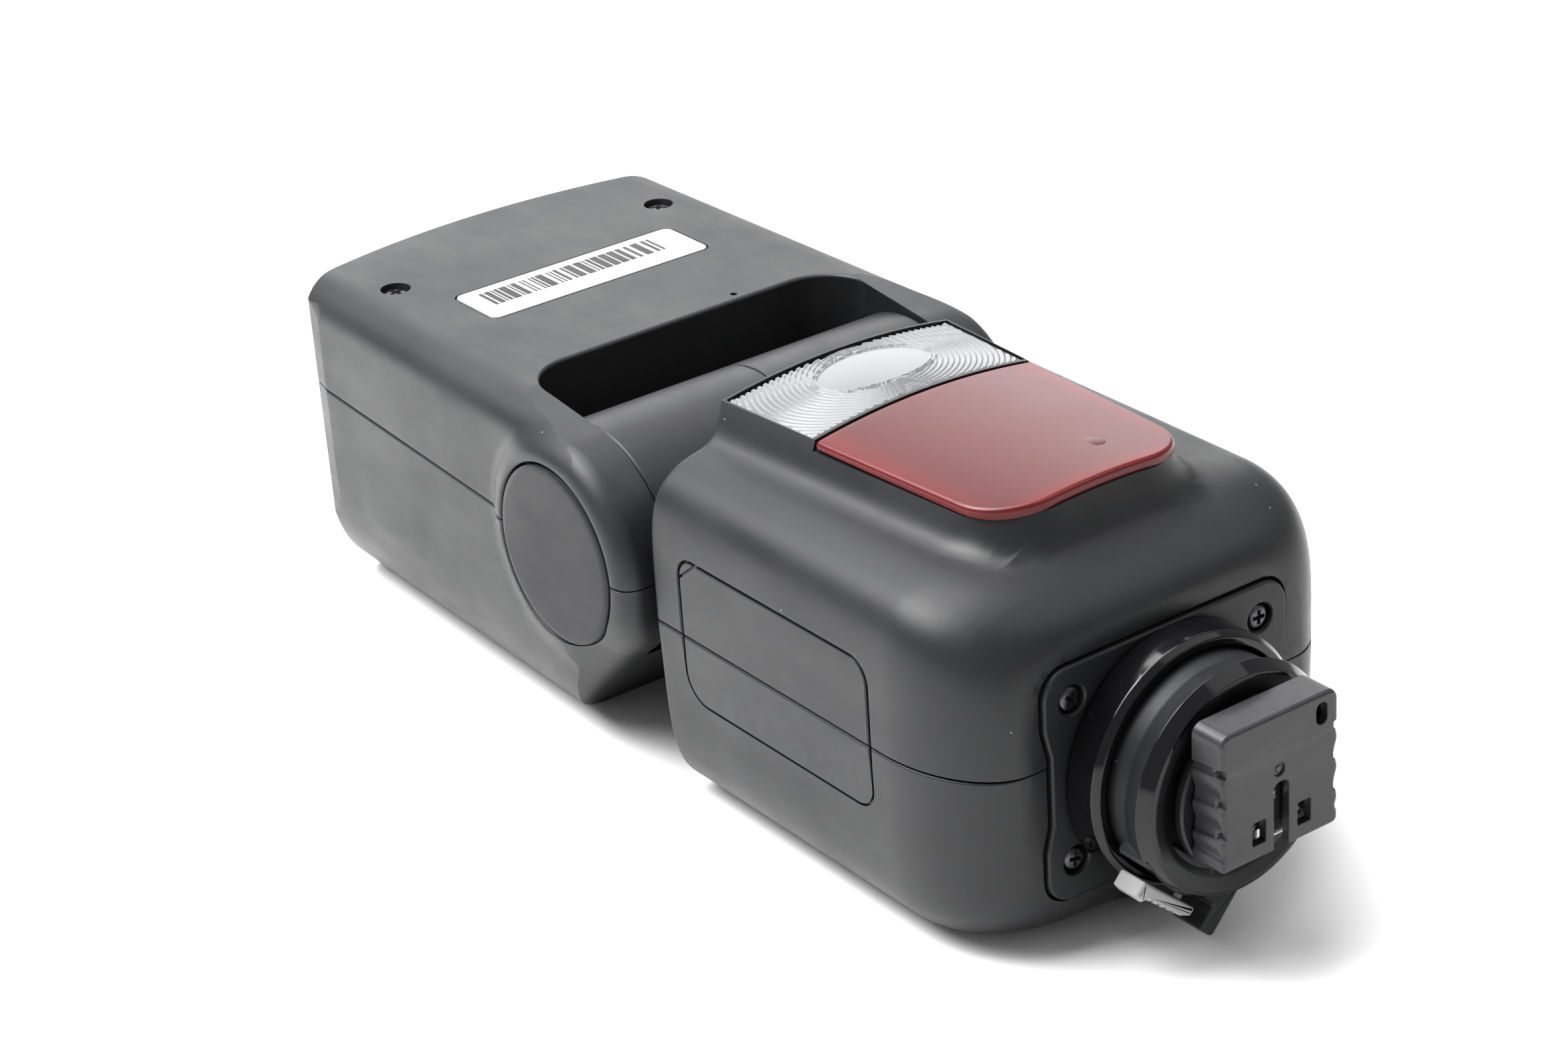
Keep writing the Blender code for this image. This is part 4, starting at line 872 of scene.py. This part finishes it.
def foot_cap():
    """The slide-on cap, with its scalloped grip, its windows and the moulding marks."""
    low, high = limits("foot_cap")
    places = [low.z + 1.1 + 0.2 * i for i in range(int((high.z - low.z - 2.8) / 0.2))]
    side = [(high.x - scallop(z), z) for z in places]
    top = arc((high.x - 1.7, high.z - 1.7), 1.7, 0, 90, 7)
    bottom = arc((high.x - 0.9, low.z + 0.9), 0.9, -90, 0, 6)
    half = bottom + side + top
    outline = half + [(-x, z) for x, z in reversed(half)]
    shape = extruded(outline, "XZ", soft(low.y, high.y, 0.55, 0.3, 5))
    cuts = [block((-9.5, 9.5), (1.25, 4.4), (-11, 9.1)), block((-6.4, 6.4), (4.2, 7), (-11, 9.1))]
    slot = rounded([(-1.1, -11), (1.5, -11), (1.5, 0.3), (-1.1, 0.3)], [0, 0, 1.0, 1.0], 6)
    holes = [rounded(rectangle(x, z), radius) for x, z, radius in (
        ((-4.8, -2.5), (-7.4, -4.1), 0.25), ((3.0, 5.3), (-7.4, -4.1), 0.25),
        ((6.25, 8.15), (5.9, 9.0), 0.9))]
    cuts += [extruded(hole, "XZ", flared(low.y, 2.0, 0.14, -1.0)) for hole in (*holes, slot)]
    cuts.append(extruded(circle((-0.2, 2.2), 0.95, 24), "XZ", flared(low.y, 0.3, 0.2, -1.0)))
    for z in (4.6, 0.15, -4.35):
        for sign in (-1, 1):
            outline = [(1.7, z + 0.9), (6.2, z + 0.5), (6.2, z - 0.9), (1.7, z - 0.35)]
            cuts.append(extruded(outline, "YZ", [(sign * 9.58, 0), (sign * 10.6, 0.25)]))
            front = [(-0.5, z + 1.0), (0.5, z + 0.9), (1.15, z + 0.4), (1.15, z - 0.2), (-0.5, z - 0.6)]
            cuts.append(extruded(rounded(front, [0, 0.3, 0.3, 0.3, 0], 4), "YZ",
                                 [(sign * 9.25, -0.1), (sign * 10.6, 0.4)]))
    piece("foot_cap_shell", "foot_cap", carved(shape, *cut(*cuts)), "cap", "foot_cap", sharp=28.0)
    gate = revolved([(0, 0.12), (0.35, 0.14), (0.5, 0.3), (0.5, 0.5), (0, 0.5)], "Y", (-0.2, 0, 2.2), 24)
    piece("gate_mark", "foot_cap", gate, "cap")


# ---------------------------------------------------------------- neck and head


def neck():
    """Two half barrels on the swivel tube, with the fine seam between them."""
    for side, name in ((-1, "neck_half_left"), (1, "neck_half_right")):
        low, high = limits(name)
        radius = (high.z - low.z) / 2
        inner, outer = (0.25, 0.6) if side > 0 else (0.6, 0.25)
        stations = soft(low.x, high.x, inner, outer)
        profile = [(0.0, low.x), *[(radius + grow, x) for x, grow in stations], (0.0, high.x)]
        barrel = revolved(profile, "X", PIVOT, 160)
        base = extruded(rounded(rectangle(sorted((side * 0.1, side * 14.0)), (-3.1, 12.9)), 1.2, 4), "XZ",
                        [(90.4, -0.2), (90.7, 0), (100.0, 0)])
        bores = cut(rod("X", PIVOT, 14.9, sorted((side * -1.0, side * 26.2)), steps=64),
                    rod("Y", (0, 0, AXIS_Z), 6.0, (88.0, 96.0), steps=40),
                    rod("X", PIVOT, 4.3, (-32.0, 32.0), steps=40))
        piece(name + "_shell", "neck", carved(barrel, ("add", base), *bores), "head", name)


LENGTH, HEAD_TOP = 187.6, 24.3
HEAD_HALF, HEAD_HALF_END, EAR_RADIUS, CAP_RADIUS, CAP_FACE = 37.4, 34.2, 17.7, 13.7, 37.7
COLLAR, COLLAR_IN, COLLAR_RUN = 1.35, 14.6, 4.6
CAVITY_HALF, CAVITY_Y, END_ARC, HEAD_WALL = 28.8, 129.0, 120.0, 2.0
WINDOW_HALF, WINDOW_LOW, WINDOW_HIGH = 29.0, -20.5, 16.5
RIB_PITCH = 0.92


def head_side(y, z, inset=0.0):
    """Half width of the head: a straight taper, with a soft collar standing proud round the hinge cap."""
    run = min(max((y - 112.0) / 73.0, 0.0), 1.0)
    away = math.hypot(y - AXIS_Y, z - AXIS_Z)
    plain = HEAD_HALF - COLLAR + (HEAD_HALF_END - HEAD_HALF + COLLAR) * run
    collar = 1.0 - smoothstep((away - COLLAR_IN) / COLLAR_RUN)
    return plain + (HEAD_HALF - plain) * collar - inset


def head_seam(y):
    """The seam's height: level at the hinge, then rising straight to the head's end."""
    return 5.0 + 2.5 * max(y - AXIS_Y, 0.0) / (LENGTH - AXIS_Y)


def head_sections(y, upper, inset=0.0, gap=0.1):
    """Right half of a head cover's section at y."""
    seam, lip = head_seam(y) + (-gap if upper else gap), 0.3 if not inset else 0.0
    sign = -1.0 if upper else 1.0
    across, up, end = (12.0, 19.0, REST + inset) if upper else (6.5, 5.5, HEAD_TOP - inset)
    points = []
    if lip:
        for a in (0.0, 0.4, 0.8, 1.2, 1.5708):
            z = seam + sign * lip * (1 - math.cos(a))
            points.append((head_side(y, z, inset) - lip * (1 - math.sin(a)), z))
    else:
        points.append((head_side(y, seam, inset), seam))
    start = points[-1][1]
    bend = end - sign * up
    count = 14 if upper else 22
    for i in range(1, count + 1):
        z = start + (bend - start) * i / count
        points.append((head_side(y, z, inset), z))
    for i in range(1, 15):
        a = math.pi / 2 * i / 14
        z = bend + sign * up * math.sin(a)
        points.append((head_side(y, z, inset) - across * (1 - math.cos(a)), z))
    for share in (0.75, 0.5, 0.25, 0.0):
        points.append((points[-1][0] * share, end))
    return [(x, y, z) for x, z in points]


def head_loft(upper):
    stations = [90.0 + 0.9 * i for i in range(50)] + [136.0 + 4.2 * i for i in range(13)] + [LENGTH + 1.0]
    return skin([mirrored(head_sections(y, upper)[::-1]) for y in stations])


def side_trim():
    """A solid seen as the head's side outline, whose long edges round over the ears."""
    sharp, ear = (0.05, 0.05), arc((AXIS_Y, AXIS_Z), EAR_RADIUS, 96, 235, 60)
    outline = [(LENGTH + 6, REST - 9, *sharp), (LENGTH + 6, HEAD_TOP + 9, *sharp),
               (124.6, HEAD_TOP + 9, *sharp), (124.3, HEAD_TOP + 0.03, 4.6, 4.6)]
    for i in range(1, 8):
        share = i / 8
        outline.append((124.0 + (ear[0][0] - 124.0) * share, HEAD_TOP + (ear[0][1] - HEAD_TOP) * share,
                        4.6 - 1.2 * share, 4.6 - 1.2 * share))
    for i, (a, b) in enumerate(ear):
        grow = smoothstep((96 + (235 - 96) * i / 60 - 185.0) / 50.0)
        outline.append((a, b, 3.4 + 3.6 * grow, 3.4 + 4.6 * grow))
    for i in range(1, 6):
        share = i / 5
        outline.append((ear[-1][0] + (120.0 - ear[-1][0]) * share,
                        ear[-1][1] + (REST - 0.02 - ear[-1][1]) * share, 7.0, 8.0))
    outline.append((120.4, REST - 9, *sharp))
    normals = [(first + second).normalized() for first, second in corner_normals([p[:2] for p in outline])]
    half = HEAD_HALF + 0.02
    levels = [(half + 3.0, 1.0, 0.0)] + [(half, fall, draw) for fall, draw in quarter(9)]
    return skin([[(sign * (x - wide * draw), u - normal.x * (deep * fall), v - normal.y * (deep * fall))
                  for (u, v, wide, deep), normal in zip(outline, normals)]
                 for sign in (1, -1) for x, fall, draw in levels[::sign]])


def plan_outline():
    """The head seen from its front: plain sides beyond the shell, and the end's shallow arc."""
    far = arc((0.0, LENGTH - END_ARC), END_ARC, 90 - 16.2, 90 + 16.2, 40)
    before = [(-60, 80), (60, 80), (60, far[0][1] - 4.0), (far[0][0] + 0.8, far[0][1] - 4.0)]
    return rounded(before, 0) + far + [(far[-1][0] - 0.8, far[-1][1] - 4.0), (-60, far[-1][1] - 4.0)]


def head_covers():
    """Both shells of the head, with the cavity for the neck, the window and the panel slot."""
    def shell(name, node, upper, *steps):
        inside = [mirrored(head_sections(y, False, HEAD_WALL, 0.0)[::-1] +
                           head_sections(y, True, HEAD_WALL, 0.0)[1:])
                  for y in (131.4, 150.0, 183.0)]
        window = rectangle((-WINDOW_HALF - GAP, WINDOW_HALF + GAP), (WINDOW_LOW - GAP, WINDOW_HIGH + GAP))
        tools = [skin(inside), rod("X", PIVOT, EAR_RADIUS + 0.4, (-CAVITY_HALF, CAVITY_HALF), steps=128),
                 rod("X", PIVOT, 4.3, (-34.6, 34.6), steps=40),
                 extruded(rounded(window, 1.2), "XZ", [(176, 0), (192, 0)])]
        for side in (-1, 1):
            ring = circle((AXIS_Y, AXIS_Z), CAP_RADIUS + 0.22, 120)
            tools.append(extruded(ring, "YZ", flared(side * HEAD_HALF, side * 35.6, 0.45, side)))
        kept = [("keep", side_trim()), ("keep", extruded(plan_outline(), "XY", [(-40, 0), (40, 0)]))]
        shape = carved(head_loft(upper), *kept, *cut(*tools), *steps)
        piece(name, "head", shape, "head", node, sharp=30.0)

    cavity = rounded(rectangle((-CAVITY_HALF, CAVITY_HALF), (70, CAVITY_Y)), [0, 0, 8, 8], 16)
    screws = [middle(f"head_screw_{i + 1}") for i in range(2)]
    seat = rounded(seen("serial_label", grow=0.3), 1.6, 6)
    shell("head_lower_shell", "head_lower_cover", False,
          *cut(extruded(cavity, "XY", flared(HEAD_TOP, AXIS_Z, 0.55))),
          *[("add", rod("Z", (s.x, s.y, 0), 3.6, (16.4, 23.4))) for s in screws],
          *cut(*[extruded(circle(s, 2.32), "XY", flared(HEAD_TOP, 22.4, 0.14)) for s in screws],
               *[rod("Z", (s.x, s.y, 0), 1.3, (10.0, 23.5), steps=24) for s in screws],
               extruded(seat, "XY", flared(HEAD_TOP, HEAD_TOP - 0.3, 0.12)),
               extruded(circle((11.5, 131.0), 0.5, 18), "XY", flared(HEAD_TOP, 23.4, 0.15))))
    slot = rounded(rectangle((-23.4, 23.4), (-25.6, -22.7)), 0.5)
    shell("head_upper_shell", "head_upper_cover", True,
          *cut(extruded(slot, "XZ", [(176, 0), (192, 0)]), block((-8, 8), (118.5, 133), (-24.4, -15.0))))


def head_trim():
    """Hinge caps, screws and the label with its bars."""
    for side, name in ((-1, "hinge_cap_left"), (1, "hinge_cap_right")):
        faces = [(0, CAP_FACE), (9.0, CAP_FACE - 0.02), (12.4, CAP_FACE - 0.07), (13.2, CAP_FACE - 0.17),
                 (13.55, CAP_FACE - 0.4), (CAP_RADIUS, CAP_FACE - 0.8), (CAP_RADIUS, 35.9), (0, 35.9)]
        profile = [(r, side * x) for r, x in faces]
        piece(name + "_disc", "head", revolved(profile, "X", PIVOT, 160), "disc", name)
    for i in range(2):
        screw(f"head_screw_{i + 1}", "head")
    low, high = limits("serial_label")
    label = extruded(rounded(seen("serial_label"), 1.4, 6), "XY", soft(low.z, high.z, 0.0, 0.03, 2))
    piece("blank_label", "head", label, "paper", "serial_label")
    chance = random.Random(7)
    bars = bmesh.new()
    x = low.x + 3.2
    while x < high.x - 5.4:
        wide = chance.choice((0.3, 0.45, 0.6, 0.9, 1.3))
        bar = block((x, x + wide), (low.y + 4.4, high.y - 1.9), (high.z - 0.02, high.z + 0.03))
        mesh = bpy.data.meshes.new("bar")
        bar.to_mesh(mesh)
        bar.free()
        bars.from_mesh(mesh)
        bpy.data.meshes.remove(mesh)
        x += wide + chance.choice((0.25, 0.35, 0.45, 0.7))
    piece("label_bars", "head", bars, "ink")


# ---------------------------------------------------------------- light end of the head


def board_material():
    """Green board: faint tracks under the lacquer, in straight runs."""
    g = Graph("green_board")
    lanes = g.texture("ShaderNodeTexWave", "Fac", settings={"bands_direction": "X"}, Scale=190.0)
    cells = g.texture("ShaderNodeTexVoronoi", "Distance", settings={"distance": "MANHATTAN"}, Scale=210.0)
    track = g.maths("MULTIPLY", g.maths("GREATER_THAN", lanes, 0.55),
                    g.maths("GREATER_THAN", g.noise(90.0, 0.0), 0.5))
    pad_spot = g.maths("LESS_THAN", cells, 0.16)
    green = g.mix(track, (0.006, 0.05, 0.022), (0.010, 0.085, 0.035))
    g.set(Base_Color=g.mix(pad_spot, green, (0.45, 0.44, 0.40)), Metallic=g.maths("MULTIPLY", pad_spot, 0.8),
          Roughness=g.span(g.noise(300.0), 0.3, 0.7, 0.28, 0.4), Normal=g.bump(track, 0.03 * MM, 0.6))
    return g.made


def prism_material():
    """Clear diffuser moulded with a close pattern of small pyramids."""
    g = Graph("prism_diffuser")
    flow = g.noise(160.0, 3.0)
    g.set(Base_Color=g.mix(flow, (0.86, 0.88, 0.90), (0.95, 0.96, 0.97)), Transmission_Weight=0.9,
          IOR=ACRYLIC_IOR, Roughness=g.span(flow, 0.3, 0.7, 0.05, 0.12),
          Normal=g.bump(g.maths("ADD", *g.teeth(1400.0)), 0.12 * MM, 0.8))
    return g.made


def light_end():
    """The ribbed window, the tube behind it, and the panel and card that slide out over it."""
    low, high = limits("flash_window")
    centre = (0.0, LENGTH - END_ARC)
    face = arc(centre, END_ARC - 0.75, 90 - 13.9, 90 + 13.9, 48)
    back = arc(centre, END_ARC - 3.2, 90 + 14.2, 90 - 14.2, 48)
    outline = [(max(min(x, high.x - 0.1), low.x + 0.1), y) for x, y in face + back]
    ribs = [(low.z, -0.3), (low.z + 0.25, 0.0)]
    z = low.z + 1.2
    while z < high.z - 1.2:
        ribs += [(z, 0.05), (z + 0.18, -0.16), (z + 0.7, -0.05), (z + 0.72, 0.05)]
        z += RIB_PITCH
    ribs += [(high.z - 0.25, 0.0), (high.z, -0.3)]
    piece("ribbed_window", "head", extruded(outline, "XY", ribs), "clear", "flash_window", sharp=25.0)
    low, high = limits("flash_tube")
    centre = middle("flash_tube")
    radius = (high.z - low.z) / 2
    glass = rod("X", centre, radius - 0.05, (low.x + 2.6, high.x - 2.6), 0.5)
    piece("tube_glass", "zoom_unit", glass, "clear", "flash_tube")
    ends = [(0, low.x), (radius * 0.55, low.x), (radius * 0.6, low.x + 0.8), (radius - 0.1, low.x + 1.1),
            (radius, low.x + 1.5), (radius, low.x + 2.4), (radius - 0.3, low.x + 2.7), (0, low.x + 2.7)]
    for side, name in ((1, "left"), (-1, "right")):
        shape = revolved([(r, side * x) for r, x in ends], "X", centre, 64)
        piece(f"tube_end_{name}", "zoom_unit", shape, "steel")
    for node, name, finish, edge in (("wide_panel", "wide_panel_sheet", prism_material(), 0.22),
                                     ("bounce_card", "bounce_card_sheet", "white", 0.3)):
        low, high = limits(node)
        sheet = extruded(rounded(seen(node), [2.0, 2.0, 1.5, 1.5], 8), "XY", soft(low.z, high.z, edge))
        notch = rounded(rectangle((-6.0, 6.0), (high.y - 1.2, high.y + 2.0)), 0.6, 5)
        face, inward = (low.z, 1) if node == "wide_panel" else (high.z, -1)
        grip = extruded(notch, "XY", [(face - inward, 0), (face + inward * 0.45, 0)])
        piece(name, node, carved(sheet, *cut(grip)), finish, node)


# ---------------------------------------------------------------- rear and sides of the body


def crowned(outline, low, high, edge, dish=0.0):
    """A key on a flat outline, its outer face at low rounded at the edge and dished by a little."""
    centre = centroid(outline)
    rows = [[(*centre, high)], [(a, b, high) for a, b in outline]]
    for fall, draw in quarter(5):
        rows.append([(a, b, low + edge * fall) for a, b in offset(outline, -edge * draw)])
    rim = rows[-1]
    for share in (0.85, 0.65, 0.45, 0.2):
        rows.append([(a, b, low + dish * (1 - share * share)) for a, b in shrunk(rim, centre, share)])
    rows.append([(*centre, low + dish)])
    return skin(rows)


def controls():
    """Screen, keys, round buttons, dial and switch on the rear."""
    low, high = limits("screen_window")
    glass = crowned(rounded(seen("screen_window"), 1.0, 6), low.z, high.z, 0.35)
    made = piece("screen_glass", "body", glass, "gloss", "screen_window")
    made.data.materials.append(screen_material())
    for face in made.data.polygons:
        spot = TO_FRAME.inverted() @ face.center
        if face.normal.z < -0.99 and abs(spot.x) < 19.2 and abs(spot.y - 70.0) < 10.2:
            face.material_index = 1
    for name in SOFT_KEYS:
        low, high = limits(name)
        key = crowned(rounded(seen(name), 0.8, 6), low.z, high.z, 0.45, 0.12)
        dash = block((middle(name).x - 1.4, middle(name).x + 1.4), (low.y + 1.6, low.y + 2.2),
                     (low.z - 0.4, low.z + 0.28))
        piece(name + "_pad", name, carved(key, *cut(dash)), "rubber", name)
    for name in ROUND_BUTTONS:
        low, high = limits(name)
        profile = [(0, low.z + 0.18), (1.0, low.z + 0.13), (1.7, low.z + 0.02), (2.1, low.z),
                   (2.4, low.z + 0.12), (2.6, low.z + 0.45), (2.6, high.z), (0, high.z)]
        piece(name + "_pad", name, revolved(profile, "Z", middle(name), 48), "rubber", name)
    low, high = limits("select_dial")
    outer, steps = (high.x - low.x) / 2, 240
    rows = []
    for radius, z in ((4.5, high.z), (4.5, low.z + 0.5), (4.75, low.z + 0.12), (5.2, low.z), (7.3, low.z),
                      (8.0, low.z + 0.25), (8.25, low.z + 0.7), (8.25, high.z)):
        row = []
        for i in range(steps):
            ridge = 0.16 * math.cos(2 * math.pi * i * 40 / steps) if radius > 7.9 else 0.0
            turn = 2 * math.pi * i / steps
            away = min(radius + ridge, outer - 0.01)
            row.append((away * math.cos(turn), middle("select_dial").y + away * math.sin(turn), z))
        rows.append(row)
    profile = [(0, low.z + 0.35), (0.5, low.z + 0.3), (0.9, low.z), (1.0, low.z - 0.3), (0, low.z - 0.3)]
    dimple = revolved(profile, "Z", (0, middle("select_dial").y + 6.3, 0), 32)
    ring = carved(skin(rows, True), *cut(dimple))
    piece("dial_ring", "select_dial", ring, "fine", "select_dial", sharp=26.0)
    low, high = limits("set_button")
    profile = [(0, low.z + 0.25), (1.8, low.z + 0.2), (3.1, low.z + 0.04), (3.5, low.z), (3.9, low.z + 0.15),
               (4.1, low.z + 0.5), (4.1, high.z), (0, high.z)]
    cap = revolved(profile, "Z", middle("set_button"), 64)
    piece("set_button_cap", "set_button", cap, "cap", "set_button")
    low, high = limits("power_switch")
    stem = crowned(rounded(seen("power_switch"), 0.5, 5), low.z, high.z, 0.3)
    ribs = [rod("Y", (low.x + 0.9 + 0.72 * i, 0, low.z - 0.05), 0.2, (low.y - 1, high.y + 1), steps=16)
            for i in range(4)]
    piece("switch_knob", "power_switch", carved(stem, *cut(*ribs)), "cap", "power_switch")


def screen_material():
    """Unlit screen under its window: very dark, a little green, with its pixel grid."""
    g = Graph("unlit_screen")
    lines = g.maths("MAXIMUM", *[g.maths("GREATER_THAN", grid, 0.9) for grid in g.teeth(3200.0)])
    smear = g.noise(90.0, 3.0)
    base = g.mix(lines, (0.030, 0.036, 0.032), (0.020, 0.024, 0.022))
    g.set(Base_Color=base, Roughness=g.span(smear, 0.3, 0.7, 0.06, 0.13), Coat_Weight=0.5,
          Coat_Roughness=0.04, Normal=g.bump(smear, 0.01 * MM, 0.3))
    return g.made


def battery():
    """The battery's outer face with its grip ribs and latch, on the hidden side."""
    low, high = limits("battery")
    edge = ((0.45, 0.0), (0.25, 0.06), (0.08, 0.22), (0.0, 0.5))
    stations = [(low.x, 0.0), *[(high.x - back, -draw) for back, draw in edge]]
    face = extruded(offset(panel_outline(), -GAP), "YZ", stations)
    cells = block((low.x, low.x + 8.5 + 43.9), (43.0, 79.0), (-8.0, 12.2), 1.2)
    near, far = limits("battery_latch")
    pocket = block((31.7, 36.0), (near.y - 2.5, far.y + GAP), (near.z - GAP, far.z + GAP))
    ribs = [rod("Z", (high.x + 0.12, 64.0 + 1.9 * i, 0), 0.42, (-4.6, 8.6), 0.3, 20) for i in range(7)]
    case = carved(face, ("add", cells), *cut(pocket, *ribs))
    piece("battery_case", "battery_pack", case, "fine", "battery")
    slide = extruded(rounded(seen("battery_latch", "YZ"), 0.6, 5), "YZ", soft(near.x, far.x, 0.0, 0.35))
    ribs = [rod("Z", (far.x + 0.1, near.y + 1.8 + 1.05 * i, 0), 0.3, (-1, 6), steps=16) for i in range(7)]
    piece("battery_latch_slide", "battery_latch", carved(slide, *cut(*ribs)), "cap", "battery_latch")
    low, high = limits("port_flap")
    flap = extruded(rounded(seen("port_flap", "YZ"), [1.6, 1.6, 0.4, 0.4], 6), "YZ",
                    soft(low.x, high.x, 0.1, 0.4))
    nail = rod("Y", (high.x + 0.9, 0, low.z + 1.5), 1.2, (64.0, 72.0), 0.4, 32)
    line = extruded(rectangle((low.y + 2.0, high.y - 2.0), (high.z - 1.5, high.z - 1.2)), "YZ",
                    [(high.x - 0.25, 0), (high.x + 0.4, 0)])
    piece("port_cover", "port_flap", carved(flap, *cut(nail, line)), "rubber", "port_flap")


# ---------------------------------------------------------------- foot and inner parts


def foot():
    """Shoe foot, its sprung contacts and its locking pin, seen when the cap is off."""
    low, high = limits("foot_plate")
    plate = extruded(rounded(rectangle((-9.25, 9.25), (-9.2, 8.8)), [0.8, 0.8, 0.4, 0.4], 5), "XZ",
                     soft(2.2, 4.1, 0.3))
    neck_shape = block((-6.1, 6.1), (3.8, high.y), (-9.2, 8.8))
    shape = carved(plate, ("add", neck_shape), *cut(rod("Y", (7.2, 0, 7.3), 1.0, (1.0, 5.0))))
    piece("shoe_foot", "body", shape, "steel", "foot_plate")
    low, high = limits("contact_block")
    carrier = block((low.x, high.x), (1.85, 2.05), (low.z, high.z), 0.08, "XZ")
    piece("contact_carrier", "body", carrier, "dull")
    profile = [(0, 1.5), (0.45, 1.52), (0.7, 1.62), (0.8, 1.8), (0.8, 1.95), (0, 1.95)]
    places = ((0.2, -2.4), (4.15, -5.75), (-3.65, -5.75), (4.15, 1.6), (-3.65, 1.6))
    first, *others = [revolved(profile, "Y", (x, 0, z), 32) for x, z in places]
    piece("contact_pins", "body", carved(first, *[("add", pin) for pin in others]), "steel", "contact_block")
    low, high = limits("locking_pin")
    pin = rod("Y", middle("locking_pin"), (high.x - low.x) / 2, (low.y, high.y), 0.25, 32)
    piece("locking_pin_rod", "locking_pin", pin, "steel", "locking_pin")


MATERIALS["board"] = board_material()
CARRIED = {
    "screw": ("lead_screw",),
    "steel": ("tilt_axle", "swivel_tube", "guide_rod_left", "guide_rod_right", "zoom_motor", "screen_module",
              "usb_socket"),
    "mirror": ("reflector",),
    "dull": ("zoom_carriage", "assist_lamp"),
    "white": ("modelling_led",),
    "board": ("main_board", "trigger_board"),
    "sleeve": ("main_capacitor",),
}


def inner_parts():
    """CAD nodes that stay as they are get their materials."""
    for finish, names in CARRIED.items():
        for name in names:
            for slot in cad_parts[name].material_slots:
                slot.material = MATERIALS[finish]


# ---------------------------------------------------------------- camera, light, floor


ROOM_LIGHT, FLOOR_REACH = 0.46, 3.0


def camera():
    """The camera at the photograph's viewing angle."""
    data = bpy.data.cameras.new("camera")
    data.sensor_width = 36.0
    data.lens = 83.11
    right = Vector((0.80052084, -0.59622491, -0.06068152))
    up = Vector((0.30945755, 0.3245229, 0.89382376))
    back = -Vector((0.51322745, 0.7343029, -0.44429364))
    made = bpy.data.objects.new("camera", data)
    turned = Matrix((right, up, back)).transposed().to_4x4()
    made.matrix_world = Matrix.Translation((-0.274912, -0.381696, 0.264400)) @ turned
    SCENE.collection.objects.link(made)
    SCENE.camera = made


def softbox(name, place, size, power, aim=(0.0, 0.0, 0.03)):
    """A rectangular area light that looks at a point, or at the middle of the flash."""
    data = bpy.data.lights.new(name, "AREA")
    data.shape = "RECTANGLE"
    data.size, data.size_y = size
    data.energy = power
    made = bpy.data.objects.new(name, data)
    made.location = place
    made.rotation_mode = "QUATERNION"
    made.rotation_quaternion = (Vector(aim) - Vector(place)).to_track_quat("-Z", "Y")
    SCENE.collection.objects.link(made)


def studio():
    """Plain pale floor and soft light from all round."""
    shape = bmesh.new()
    bmesh.ops.create_grid(shape, x_segments=2, y_segments=2, size=FLOOR_REACH)
    mesh = bpy.data.meshes.new("floor")
    shape.to_mesh(mesh)
    shape.free()
    floor = bpy.data.objects.new("floor", mesh)
    g = Graph("pale_floor")
    g.set(Base_Color=g.mix(g.noise(3.0), (0.90, 0.90, 0.90), (0.93, 0.93, 0.93)), Roughness=0.6)
    mesh.materials.append(g.made)
    SCENE.collection.objects.link(floor)
    world = bpy.data.worlds.new("studio")
    world.use_nodes = True
    nodes, links = world.node_tree.nodes, world.node_tree.links
    pick = nodes.new("ShaderNodeMixShader")
    links.new(nodes.new("ShaderNodeLightPath").outputs["Is Camera Ray"], pick.inputs["Fac"])
    links.new(pick.outputs["Shader"], nodes["World Output"].inputs["Surface"])
    lights = ((nodes["Background"], ROOM_LIGHT), (nodes.new("ShaderNodeBackground"), 1.0))
    for slot, (white, strength) in enumerate(lights, 1):
        white.inputs["Color"].default_value = (1.0, 1.0, 1.0, 1.0)
        white.inputs["Strength"].default_value = strength
        links.new(white.outputs["Background"], pick.inputs[slot])
    SCENE.world = world
    softbox("top_light", (-0.10, 0.25, 0.9), (0.9, 0.6), 11.0)
    softbox("left_light", (-0.50, 0.40, 0.8), (0.8, 0.6), 14.0, aim=(-0.30, 0.35, 0.0))
    softbox("fill_light", (0.50, -0.40, 0.9), (0.8, 0.8), 2.0)
    softbox("back_light", (0.50, 0.80, 0.42), (0.9, 0.55), 3.2, aim=(0.0, 0.10, 0.03))
    SCENE.view_settings.view_transform = "Standard"
    SCENE.view_settings.look = "Medium High Contrast"


for make in (casing, windows, bottom_plate, lock_ring, foot_cap, neck, head_covers, head_trim, light_end,
             controls, battery, foot, inner_parts, camera, studio):
    make()
